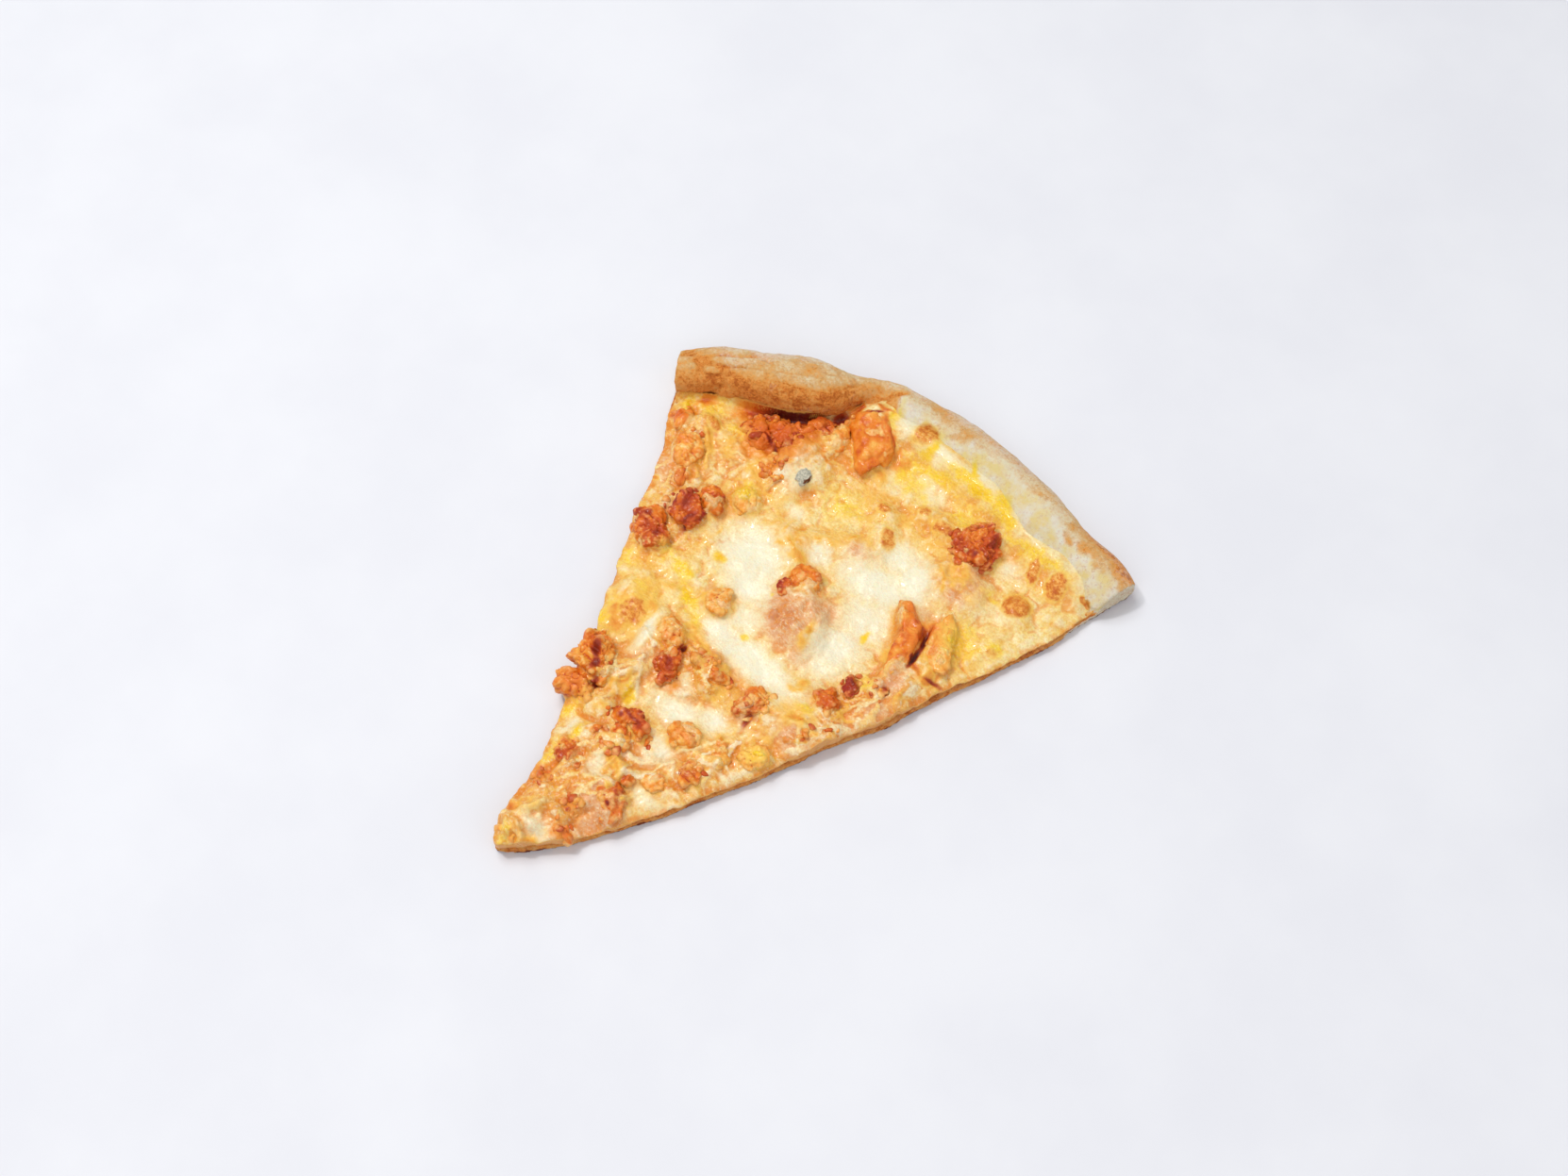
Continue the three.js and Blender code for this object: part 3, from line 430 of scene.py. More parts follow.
def beside(x, y, line):
    """Signed distance from a line of points, positive outwards from the slice, and the share along it."""
    best = np.full(len(x), 1e9)
    out = np.zeros(len(x))
    share = np.zeros(len(x))
    for n, ((ax, ay), (bx, by)) in enumerate(zip(line, line[1:])):
        away, t = from_segment(x, y, (ax, ay), (bx, by))
        side = np.sign((bx - ax) * (y - ay) - (by - ay) * (x - ax))
        closer = away < best
        out = np.where(closer, away * side, out)
        share = np.where(closer, (n + t) / (len(line) - 1), share)
        best = np.minimum(best, away)
    return out, share


# ---- Meshes ----
def link(name, mesh):
    piece = bpy.data.objects.new(name, mesh)
    bpy.context.scene.collection.objects.link(piece)
    return piece


def fine_copy(node, name, voxel):
    """A copy of a node's solid with an even, fine surface."""
    piece = link(name, NODES[node].data.copy())
    remesh = piece.modifiers.new("even", "REMESH")
    remesh.mode = "VOXEL"
    remesh.voxel_size = voxel * MM
    fine = bpy.data.meshes.new_from_object(piece.evaluated_get(bpy.context.evaluated_depsgraph_get()))
    piece.modifiers.clear()
    piece.data = fine
    fine.materials.clear()
    return piece


def set_points(mesh, points):
    mesh.vertices.foreach_set("co", to_row(points).ravel())
    mesh.update()


def normals_of(mesh):
    flat = np.empty(len(mesh.vertices) * 3)
    mesh.vertex_normals.foreach_get("vector", flat)
    return flat.reshape(-1, 3)


def edges_of(mesh):
    flat = np.empty(len(mesh.edges) * 2, dtype=np.int64)
    mesh.edges.foreach_get("vertices", flat)
    return flat.reshape(-1, 2)


def relaxed(points, edges, rounds, weight):
    """Points drawn towards the middle of their neighbours, as far as each one's weight lets them."""
    count = len(points)
    a, b = edges.T
    degree = np.maximum(np.bincount(a, minlength=count) + np.bincount(b, minlength=count), 1)
    for _ in range(rounds):
        middle = np.empty_like(points)
        for axis in range(3):
            values = points[:, axis]
            total = np.bincount(a, values[b], count) + np.bincount(b, values[a], count)
            middle[:, axis] = total / degree
        points = points + 0.5 * weight[:, None] * (middle - points)
    return points


def set_masks(mesh, masks):
    """Values from 0 to 1 at a mesh's points, which its material reads by their names."""
    for name, values in masks.items():
        layer = mesh.attributes.new(name, "FLOAT", "POINT")
        layer.data.foreach_set("value", np.clip(values, 0, 1).astype(np.float32))


def finish_piece(piece, material, slot, *nodes):
    piece.data.materials.append(material)
    piece.data.shade_smooth()
    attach(piece, "root")
    if nodes:
        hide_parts(*nodes)


# ---- Maps of heights seen from above ----
class Map:
    """Heights on an even grid over the slice's plan."""

    def __init__(self, low, high):
        self.low = np.array(low)
        self.shape = tuple(int(math.ceil((b - a) / RASTER)) + 1 for a, b in zip(low, high))

    def spots(self):
        """The x and y of all places of the grid, one after another."""
        axes = [low + RASTER * np.arange(count) for low, count in zip(self.low, self.shape)]
        return [axis.ravel() for axis in np.meshgrid(*axes, indexing="ij")]

    def cast(self, name):
        """The top of a node, zero where it isn't."""
        mesh = NODES[name].data
        tree = BVHTree.FromPolygons([v.co for v in mesh.vertices], [p.vertices[:] for p in mesh.polygons])
        plan = to_slice(mesh_points(mesh))[:, :2]
        first = np.floor((plan.min(axis=0) - self.low) / RASTER).astype(int)
        last = np.ceil((plan.max(axis=0) - self.low) / RASTER).astype(int)
        top = np.zeros(self.shape)
        down = Vector((0, 0, -1))
        for i in range(first[0], last[0] + 1):
            x = (self.low[0] + i * RASTER) * MM + TIP[0]
            for j in range(first[1], last[1] + 1):
                y = (self.low[1] + j * RASTER) * MM + TIP[1]
                hit = tree.ray_cast(Vector((x, y, 1.0)), down)[0]
                if hit:
                    top[i, j] = hit.z / MM
        return top

    def blur(self, field, size):
        steps = size / RASTER
        spread = [np.exp(-0.5 * (np.fft.fftfreq(n) * 2 * np.pi * steps) ** 2) for n in self.shape]
        return np.real(np.fft.ifft2(np.fft.fft2(field) * np.outer(*spread)))

    def outline(self, top, size):
        """1 where a top is, 0 where none is, blurred in between."""
        return self.blur((top > 0) * 1.0, size)

    def filled(self, field, there, size):
        """The field blurred, and carried a little beyond where it is known."""
        near = self.blur(field * there, size) / np.maximum(self.blur(there * 1.0, size), 1e-3)
        far = self.blur(field * there, 4) / np.maximum(self.blur(there * 1.0, 4), 1e-6)
        known = np.clip(self.blur(there * 1.0, size) * 20, 0, 1)
        return known * near + (1 - known) * far

    def at(self, field, x, y):
        """A field's values at any places, straight between those of the grid."""
        i = np.clip((x - self.low[0]) / RASTER, 0, self.shape[0] - 1.001)
        j = np.clip((y - self.low[1]) / RASTER, 0, self.shape[1] - 1.001)
        i0, j0 = i.astype(int), j.astype(int)
        u, v = i - i0, j - j0
        lower = field[i0, j0] * (1 - u) + field[i0 + 1, j0] * u
        upper = field[i0, j0 + 1] * (1 - u) + field[i0 + 1, j0 + 1] * u
        return lower * (1 - v) + upper * v


CHICKEN_NODES = sorted(name for name in NODES if name.startswith("chicken_"))
PLAN = Map(PLAN_LOW, PLAN_HIGH)
CHEESE_TOP = PLAN.cast("cheese")
DOUGH_TOP = PLAN.cast("dough")
CHEESE_EXACT = PLAN.filled(CHEESE_TOP, CHEESE_TOP > 0, 0.4)
CHEESE_EDGE = PLAN.outline(CHEESE_TOP, EDGE_BLUR)
ROLL_BLEND = PLAN.outline(CHEESE_TOP, 3.0)
RIM_BLEND = PLAN.outline(CHEESE_TOP, 5.0)
DOUGH_EDGE = PLAN.outline(DOUGH_TOP, EDGE_BLUR)
DOUGH_SOFT = PLAN.filled(DOUGH_TOP, DOUGH_TOP > 0, 1.0)


def map_chicken():
    """The tops of all nuggets, and how coated in cheese the one at each place is."""
    top = np.zeros(PLAN.shape)
    coated = np.zeros(PLAN.shape)
    for node in CHICKEN_NODES:
        own = PLAN.cast(node)
        coated = np.where(own > top, STYLES[node.replace("chicken_", "")][2], coated)
        top = np.maximum(top, own)
    return top, coated


CHICKEN_TOP, COATED = map_chicken()
NEAR_CHICKEN = PLAN.outline(CHICKEN_TOP, 1.3)
ROUND_CHICKEN = PLAN.outline(CHICKEN_TOP, 3.0)
CHEESE_SOFT = PLAN.filled(CHEESE_TOP, (CHEESE_TOP > 0) & (NEAR_CHICKEN < 0.04), CHEESE_SOFTNESS)
CHICKEN_RISE = np.maximum(CHICKEN_TOP - CHEESE_SOFT, 0) * (CHICKEN_TOP > 0) * (1 - FLATTEN * COATED)
DRAPED_RISE = PLAN.blur(CHICKEN_RISE * (DRAPE + COATED_DRAPE * COATED), 1.5)
COATED = PLAN.filled(COATED, CHICKEN_TOP > 0, 1.0)


# ---- Cheese ----
def bent_strand(centre, direction, bend, length):
    """Points of a strand whose direction turns evenly from end to end."""
    steps = 7
    turns = direction + bend * (np.arange(steps) / (steps - 1) - 0.5)
    moves = np.column_stack([np.cos(turns), np.sin(turns)]) * length / steps
    path = np.vstack([[0.0, 0.0], np.cumsum(moves, axis=0)])
    return path - path.mean(axis=0) + centre


def within(rng, x, y, length, width, turn):
    """A random point of an ellipse."""
    away, angle = math.sqrt(rng.random()), rng.uniform(0, 2 * math.pi)
    u, v = away * length * math.cos(angle), away * width * math.sin(angle)
    c, s = math.cos(math.radians(turn)), math.sin(math.radians(turn))
    return x + u * c - v * s, y + u * s + v * c


def scatter_strands():
    """Strands of melted shreds: points, radius, height and tone of each."""
    rng = np.random.default_rng(12)
    strands = [
        (bent_strand((x, y), math.radians(direction), 0.8, length), radius, 1.9 * radius, tone)
        for x, y, length, direction, radius, tone in TIP_FOLDS
    ]
    for x, y, length, width, turn, count, direction, spread in STRAND_ZONES:
        for _ in range(count):
            centre = within(rng, x, y, length, width, turn)
            heading = math.radians(direction + rng.uniform(-spread, spread))
            path = bent_strand(centre, heading, rng.uniform(-1.5, 1.5), rng.uniform(6, 15))
            strands.append((path, rng.uniform(0.6, 1.2), rng.uniform(0.5, 1.3), rng.random()))
    return strands


def strand_relief(x, y, strands):
    """Height that the strands add, and the tone of the one on top and how near its crown is, by which its
    flanks get painted shade.
    """
    height, tone, crown = np.zeros((3, len(x)))
    for path, radius, rise, shade in strands:
        low, high = path.min(axis=0) - radius, path.max(axis=0) + radius
        near = np.flatnonzero((x > low[0]) & (x < high[0]) & (y > low[1]) & (y < high[1]))
        best = np.full(len(near), 9.0)
        for start, end in zip(path, path[1:]):
            best = np.minimum(best, from_segment(x[near], y[near], start, end)[0])
        bump = rise * np.sqrt(np.clip(1 - (best / radius) ** 2, 0, 1))
        on_top = bump > height[near]
        tone[near[on_top]] = shade
        crown[near[on_top]] = bump[on_top] / rise
        height[near[on_top]] = bump[on_top]
    return height, tone, crown


def cheese_relief(x, y):
    """Height that folds, shreds and bubbles add to the cheese, and masks that go with it."""
    flat = on_plan(x, y)
    wx, wy = warped(x, y, 2.2, 6.0, 21)
    bent = on_plan(wx, wy)
    lumpy = patches(x, y, LUMPY)
    calm = patches(*warped(x, y, 1.8, 4.0, 51), WHITE)
    rough = (1 - 0.9 * calm) * (0.6 + 0.4 * lumpy)
    near, value = cells(wx, wy, 6.0, 3)
    lumps = 0.6 * (1 - smooth(near, 0.0, 0.9)) * (1 + 0.5 * value) + 0.9 * billow(bent, 5.0, 5, 5)
    strands, tone, crown = strand_relief(*warped(x, y, 0.9, 2.4, 25), scatter_strands())
    relief = lumpy * (1.5 * lumps - 0.9) + strands * (0.8 + 0.5 * noise(flat, 3.0, 27))
    relief *= 1 - 0.5 * smooth(PLAN.at(NEAR_CHICKEN, x, y), 0.2, 0.8)
    relief += rough * (1.6 * billow(bent, 8.0, 4, 33) - 0.6) + 0.5 * fbm(flat, 9.0, 3, 31)
    # Thin creases: they sink the cheese, and its colour along them is partly toasted and partly painted
    # shade.
    creases = rough * (creased(wx, wy, 9.0, 91) + 0.8 * creased(wx, wy, 5.5, 95))
    relief += 0.6 * toasted(x, y) * (1 - 0.6 * lumpy) + 0.7 * blistered(x, y)[0]
    relief -= 1.6 * patches(x, y, GAP_SHADE_AND_BURNT, 1.5) + 0.5 * creases
    shred = smooth(strands, 0.05, 0.4) * (1 - calm)
    return relief, {
        "shred": shred, "shade": tone, "crown": crown, "lumpy": lumpy, "rough": rough, "crease": creases,
    }


def creased(x, y, size, seed):
    """Thin winding lines, broken here and there."""
    flat = on_plan(x, y)
    line = np.abs(noise(flat, size, seed) + 0.35 * noise(flat, 0.4 * size, seed + 1))
    return smooth(0.2 - line, 0.0, 0.2) * smooth(noise(flat, 1.3 * size, seed + 2), -0.3, 0.35)


def toasted(x, y):
    """How far points are in a toasted patch."""
    return patches(*warped(x, y, 3.2, 5.0, 71), TOAST, 0.9) * (1 + 0.8 * fbm(on_plan(x, y), 3.0, 3, 73))


def blistered(x, y):
    """How far points are inside a browned blister, and on the ring that browned most."""
    wx, wy = warped(x, y, 0.6, 1.8, 75)
    grain = fbm(on_plan(x, y), 1.9, 3, 77)
    inside, ring = np.zeros((2, len(x)))
    for *ellipse, browning in BLISTERS:
        away = np.hypot(*in_ellipse(wx, wy, *ellipse))
        inside = np.maximum(inside, browning * (1 - smooth(away, 0.45, 1.5)))
        ring = np.maximum(ring, browning * np.exp(-(((away - 0.65) / 0.4) ** 2)))
    return inside * (1 + 0.4 * grain), np.clip(ring * (0.4 + 1.6 * grain), 0, 1)


def by_rim(x, y):
    """How near points are to the rim, where the cheese runs out onto the dough."""
    beyond = np.where(x < ROLL_END, beside(x, y, ROLL_LINE)[0], beside(x, y, PALE_LINE)[0])
    return smooth(beyond, -16, -11)


def map_cheese():
    """The cheese's new top on the plan's grid, and its colour masks, crests and hollows among them, partly
    painted highlight and shade.
    """
    x, y = PLAN.spots()
    relief, masks = cheese_relief(x, y)
    masks = {name: values.reshape(PLAN.shape) for name, values in masks.items()}
    rim = by_rim(x, y).reshape(PLAN.shape)
    flat = on_plan(x, y)
    patchy = fbm(flat, 3.4, 3, 81).reshape(PLAN.shape)
    over = patches(x, y, DRAPED).reshape(PLAN.shape)
    veil = smooth(1.1 * COATED + 0.9 * patchy + 0.3 * masks["shred"] + 0.6 * over - 0.45, 0, 0.35)
    covered = np.maximum(PLAN.blur(CHICKEN_RISE, 0.7) + VEIL, DRAPED_RISE)
    draped = DRAPED_RISE + veil * smooth(DRAPED_RISE, 0.1, 0.8) * (covered - DRAPED_RISE)
    shoulder = SHOULDER * (1 - smooth(CHEESE_EDGE, 0.5, 0.97)) * (1 - rim)
    shoulder *= smooth(fbm(flat, 5.0, 2, 83).reshape(PLAN.shape), -0.6, 0.2)
    level = PLAN.blur(CHEESE_SOFT + relief.reshape(PLAN.shape) + draped - shoulder, 0.25)
    sharp = level - PLAN.blur(level, 0.9)
    broad = level - PLAN.blur(level, 2.2)
    masks["drape"] = smooth(PLAN.blur(DRAPED_RISE, 1.0), 0.1, 1.6)
    rough = masks["rough"] = np.maximum(masks["rough"], masks["drape"])
    calm = 1 - 0.6 * masks["drape"] - 0.4 * rim
    # Crests are painted paler, partly as cream cheese and partly as painted highlight; hollows orange,
    # partly as oil and partly as painted shade.
    masks["crest"] = rough * smooth(0.9 * sharp + 0.5 * broad, 0.02, 0.4) * calm
    masks["cavity"] = rough * smooth(-0.9 * sharp - 0.5 * broad, 0.02, 0.4)
    return level, masks


CHEESE_LEVEL, CHEESE_MASKS = map_cheese()


def cheese_masks(x, y, wall):
    """Colour masks of the cheese at points with a share of being a side wall."""
    wx, wy = warped(x, y, 1.8, 4.0, 51)
    grain = fbm(on_plan(x, y), 3.0, 3, 61)
    chicken = PLAN.at(ROUND_CHICKEN, x, y)
    white = (patches(wx, wy, WHITE) + 0.15 * grain) * (1 - 0.9 * smooth(chicken, 0.05, 0.4)) * (1 - wall)
    masks = {name: PLAN.at(field, x, y) for name, field in CHEESE_MASKS.items()}
    blister, ring = blistered(x, y)
    return {
        **masks, "white": white, "oil": patches(wx, wy, OIL) + 0.15 * grain, "wall": wall,
        "sauce": patches(wx, wy, SAUCE, 1.2), "toast": toasted(x, y), "pink": patches(wx, wy, PINK),
        "gold": patches(*warped(x, y, 3.0, 8.0, 53), GOLD), "dark": patches(x, y, GAP_SHADE_AND_BURNT, 1.5),
        "blister": blister, "ring": ring,
    }


def outwards(field, x, y):
    """Directions out of a piece's plan at its cut edges, fading to nothing inside and by the rim."""
    gx = PLAN.at(field, x + RASTER, y) - PLAN.at(field, x - RASTER, y)
    gy = PLAN.at(field, x, y + RASTER) - PLAN.at(field, x, y - RASTER)
    share = (1 - smooth(PLAN.at(field, x, y), 0.5, 0.97)) * (1 - by_rim(x, y)) / (np.hypot(gx, gy) + 1e-6)
    return np.column_stack([-share * gx, -share * gy])


def overhang(x, y):
    """How far the cheese's cut edges move outwards, along x and along y."""
    inside = 2.5 * EDGE_BLUR * (PLAN.at(DOUGH_EDGE, x, y) - PLAN.at(CHEESE_EDGE, x, y))
    flat = on_plan(x, y)
    ragged = 0.6 * fbm(flat, 4.0, 3, 41) + 0.6 * smooth(noise(flat, 5.0, 45), 0.25, 0.8)
    reach = np.clip(inside, 0, 2.5) + ragged
    return reach[:, None] * outwards(CHEESE_EDGE, x, y)


def make_cheese(material):
    """The cheese: its top is the map's, its thin edge runs out on the rim, and its cut edges are ragged."""
    piece = fine_copy("cheese", "melted_cheese", CHEESE_VOXEL)
    mesh = piece.data
    points = to_slice(mesh_points(mesh))
    normals = normals_of(mesh)
    x, y, z = points.T
    floor = z.min()
    old_top = np.maximum(PLAN.at(CHEESE_EXACT, x, y), floor + 0.4)
    new_top = np.maximum(PLAN.at(CHEESE_LEVEL, x, y), floor + 0.7)
    share = np.clip((z - floor) / (old_top - floor), 0, 1.3)
    wall = 1 - smooth(normals[:, 2], 0.2, 0.75)
    masks = cheese_masks(x, y, wall * (PLAN.at(CHEESE_EDGE, x, y) < 0.7))
    low = 1 - smooth(share, 0.1, 0.4)
    sag = 0.9 * smooth(fbm(points * (1, 1, 0), 5.0, 2, 43), 0.0, 0.6) - 0.3
    height = floor + share * (new_top - floor) - low * (SEAM + sag * wall * (1 - by_rim(x, y)))
    blend = np.where(x < ROLL_END, PLAN.at(ROLL_BLEND, x, y), PLAN.at(RIM_BLEND, x, y))
    thin = by_rim(x, y) * (1 - smooth(blend, 0.5, 0.97))
    points[:, 2] = height + thin * (PLAN.at(DOUGH_SOFT, x, y) - RIM_SINK - height)
    points[:, :2] += overhang(x, y)
    points = relaxed(points, edges_of(mesh), 5, 0.25 + 0.7 * smooth(wall, 0.2, 0.8))
    set_points(mesh, points)
    set_masks(mesh, masks)
    finish_piece(piece, material, "melted_cheese", "cheese")


# ---- Crust ----
def facing_left_end(normals):
    """How squarely surfaces face the way that the roll's torn left end does."""
    return -normals[:, 0] * 0.8 - normals[:, 1] * 0.6


def rim_bake(points, rolled, out_roll, out_pale):
    """How browned the rim is by its form: the roll's belly most; its cracks and creases are darker, partly
    browned and partly painted shade.
    """
    x, y, z = points.T
    roll = 0.42 + 0.4 * smooth(-out_roll - 0.35 * (z - 8), -2, 6) + 0.04 * smooth(-x, 62, 78)
    pale = 0.12 + 0.26 * smooth(out_pale, 1, 9) + 0.12 * smooth(x, 62, 80)
    # Cracks and creases are baked darker: partly browning, partly painted shade.
    bake = rolled * roll + (1 - rolled) * pale + 0.55 * roll_creases(points)
    for start, end, width, depth in CRACKS:
        bake += 0.5 * depth * stroke(x, y, start, end, width * 1.4) * (z > RIM_FOOT)
    return bake


def torn_ends(points, normals):
    """How far points are on the rim's two ends, where its crumb shows."""
    x, y, _ = points.T
    right = smooth(x - 83 + 0.28 * (y - 196), 0, 2) * smooth(normals[:, 0], 0.72, 0.86)
    left = smooth(-x - 70, 0, 4) * smooth(facing_left_end(normals), 0.75, 0.9)
    return np.maximum(right, 0.5 * left)


def charring(points, normals, under, coarse, grain):
    """Burnt spots, low on the sides and under the base."""
    sides = smooth(1.4 - points[:, 2] + 1.2 * grain + 1.6 * coarse, 0, 0.9)
    sides *= smooth(1 - np.abs(normals[:, 2]), 0.1, 0.5)
    return np.maximum(sides, 0.8 * under * smooth(fbm(points, 6.0, 3, 109), 0.12, 0.4))


def crust_masks(points, normals):
    """Colour masks of the crust: how baked, charred, floury, cheesy, oily and crumby each point is."""
    x, y, z = points.T
    out_roll = beside(x, y, ROLL_LINE)[0]
    out_pale = beside(x, y, PALE_LINE)[0]
    coarse = fbm(points, 9.0, 3, 101)
    grain = fbm(points, 2.2, 3, 103)
    wx, wy = warped(x, y, 1.6, 5.0, 107)
    browned, pale_dough = patches(wx, wy, BAKED), patches(wx, wy, PALE_DOUGH)
    rolled = smooth(-x - 3.0 * coarse - 0.35 * (y - 209), 8.5, 12)
    out = rolled * out_roll + (1 - rolled) * out_pale
    under = smooth(-normals[:, 2], 0.5, 0.9)
    low = 1 - smooth(z, BASE_TOP - 0.3, BASE_TOP + 0.8)
    low_side = low * (1 - under)
    bake = rim_bake(points, rolled, out_roll, out_pale) + 0.14 * coarse + 0.1 * grain
    bake += 0.6 * browned - 0.25 * pale_dough
    bake = bake * (1 - under) + under * (0.6 + 0.25 * coarse + 0.15 * grain)
    bake = bake * (1 - low_side) + low_side * (0.84 + 0.3 * grain)
    bake = np.minimum(bake, 0.84 + 0.16 * smooth(grain, 0.1, 0.5))
    flour = 0.3 + 0.35 * smooth(out, 3, 10) + 0.4 * coarse + 0.4 * pale_dough
    inner = (1 - smooth(out_pale + 3.0 * grain + 3.0 * coarse + 5.0 * browned, -1, 7)) * (1 - rolled)
    inner *= smooth(z, RIM_FOOT - 0.5, RIM_FOOT + 0.5)
    margin = low * smooth(normals[:, 2], 0.4, 0.8)
    blister, ring = blistered(x, y)
    return {
        "bake": bake, "char": charring(points, normals, under, coarse, grain) * (1 - margin),
        "flour": flour * (1 - under) * (z > RIM_FOOT) * (1 - inner),
        "cheesy": np.maximum(inner, 0.2 * margin),
        "oil": patches(wx, wy, OIL) * (z > RIM_FOOT) * (1 - rolled),
        "crumb": torn_ends(points, normals), "blister": blister, "ring": ring,
    }


def roll_creases(points):
    """Creases that run along the rolled rim, most of them at its left end."""
    x, y, z = points.T
    out, along = beside(x, y, ROLL_LINE)
    layers = np.abs(noise(np.column_stack([along * 7, out / 3.6, z / 3.6]), 1.0, 131))
    folded = (x < -14) * (0.3 + 0.7 * smooth(-x, 50, 64)) * smooth(noise(points, 11.0, 137), -0.8, 0.0)
    return folded * smooth(0.3 - layers, 0, 0.25)


def crust_relief(points, normals):
    """How far the crust's surface moves along its normals."""
    x, y, z = points.T
    rim = smooth(z, RIM_FOOT, RIM_FOOT + 2)
    bubbles = 0.6 * noise(points, 12.0, 121) + 0.3 * noise(points, 6.0, 123)
    relief = rim * (bubbles + 0.24 * fbm(points, 2.6, 2, 127))
    for start, end, width, depth in CRACKS:
        relief -= depth * stroke(x, y, start, end, width) * rim * smooth(normals[:, 2], -0.1, 0.3)
    relief -= 1.2 * rim * roll_creases(points)
    blend = PLAN.at(RIM_BLEND, x, y)
    swell = 4 * blend * (1 - blend) * smooth(x, ROLL_END, -5)
    relief += RIM_SWELL * rim * swell * smooth(normals[:, 2], 0.2, 0.6)
    side = smooth(1 - np.abs(normals[:, 2]), 0.4, 0.8) * (1 - rim)
    relief += side * 0.35 * fbm(points, 1.8, 2, 139)
    return relief


def crumb_relief(points, crumb):
    """Pores in the crumb of a torn end."""
    return -0.5 * crumb * (1 - smooth(crumbs(points, 1.9, 17), 0.1, 0.55))


def make_crust(material):
    """The dough: facets relaxed away, then rim bubbles, creases and cracks, and slightly undercut sides."""
    piece = fine_copy("dough", "crust", CRUST_VOXEL)
    mesh = piece.data
    points = to_slice(mesh_points(mesh))
    normals = normals_of(mesh)
    rim = smooth(points[:, 2], 1.5, RIM_FOOT + 1.5)
    ends = np.maximum(smooth(normals[:, 0], 0.8, 0.95), smooth(facing_left_end(normals), 0.85, 0.97))
    points = relaxed(points, edges_of(mesh), 45, rim * (1 - 0.9 * ends))
    set_points(mesh, points)
    normals = normals_of(mesh)
    masks = crust_masks(points, normals)
    moved = crust_relief(points, normals) + crumb_relief(points, masks["crumb"])
    points = points + normals * moved[:, None]
    depth = UNDERCUT * (1 - smooth(points[:, 2], 0.0, BASE_TOP))
    points[:, :2] -= depth[:, None] * outwards(DOUGH_EDGE, points[:, 0], points[:, 1])
    points[:, 2] = np.maximum(points[:, 2], 0)
    set_points(mesh, points)
    set_masks(mesh, masks)
    finish_piece(piece, material, "crust", "dough")


# ---- Chicken ----
def shape_nugget(mesh, edges, style, seed):
    """Gives a nugget crags, creases and crumbs, sinks its foot in the cheese, and returns its points."""
    _, crumble, coating = style
    points = relaxed(to_slice(mesh_points(mesh)), edges, 6, np.ones(len(mesh.vertices)))
    set_points(mesh, points)
    normals = normals_of(mesh)
    x, y, z = points.T
    above = z - PLAN.at(CHEESE_SOFT, x, y)
    points[:, 2] -= FLATTEN * coating * np.maximum(above, 0)
    foot = 1 - smooth(above, 0.0, 0.5 * max(above.max(), 1.0))
    sway = np.column_stack([fbm(points, 6.0, 3, seed + n) for n in range(3)]) * (1, 1, 0.4)
    bent = points + 1.6 * sway
    grains = (0.1 + 0.5 * crumble) * (0.5 - crumbs(bent, 1.8, seed + 15))
    grains += 0.35 * crumble * (0.5 - crumbs(bent, 1.0, seed + 20))
    moved = (0.5 + 1.6 * crumble) * (billow(bent, 4.5, 3, seed + 10) - 0.5) + grains + 0.5 * foot
    points = points + (0.8 + 1.6 * crumble) * sway + normals * moved[:, None]
    points[:, 2] -= FOOT_SINK * (1 - smooth(above, 0.1, 1.4))
    set_points(mesh, points)
    return points


def nugget_masks(points, normals, edges, style, seed):
    """Colour masks of a nugget: its tone, its film of cheese, painted highlight on crests, painted shade in
    hollows, burns, sauce and oil.
    """
    tone, _, coating = style
    x, y, z = points.T
    hollow = ((relaxed(points, edges, 10, np.ones(len(points))) - points) * normals).sum(axis=1)
    grain = fbm(points, 2.5, 3, seed + 30)
    broad = fbm(points, 5.0, 2, seed + 35)
    over = z - PLAN.at(CHEESE_LEVEL, x, y)
    film = coating * smooth(0.8 * grain + 0.9 * broad + coating, 0.1, 0.9) + 0.6 * patches(x, y, DRAPED)
    film = np.maximum(film, smooth(1.7 - over + 1.8 * grain, 0, 1.4) * (0.95 - 0.5 * tone))
    wx, wy = warped(x, y, 1.2, 3.0, 57)
    # Crests get a painted highlight, and hollows painted shade, deeper on darker nuggets.
    return {
        "tone": tone + 0.35 * broad + 0.3 * grain + 0.15 * smooth(0.8 - over, 0, 1), "coat": film,
        "crest": smooth(-hollow, 0.03, 0.28), "dark": smooth(hollow, 0.04, 0.26) * (0.35 + 0.65 * tone),
        "sauce": patches(wx, wy, SAUCE, 1.2), "burnt": patches(wx, wy, GAP_SHADE_AND_BURNT, 1.5),
        "oil": patches(wx, wy, OIL),
    }


def make_nugget(node, material, number):
    kind = node.replace("chicken_", "")
    style = STYLES[kind]
    piece = fine_copy(node, "nugget_" + kind, CHICKEN_VOXEL)
    edges = edges_of(piece.data)
    seed = 200 + 7 * number
    points = shape_nugget(piece.data, edges, style, seed)
    set_masks(piece.data, nugget_masks(points, normals_of(piece.data), edges, style, seed))
    finish_piece(piece, material, "sauced_chicken", node)


def ball_form(subdivisions):
    """A ball of radius 1 as a bmesh."""
    form = bmesh.new()
    bmesh.ops.create_icosphere(form, subdivisions=subdivisions, radius=1.0)
    return form


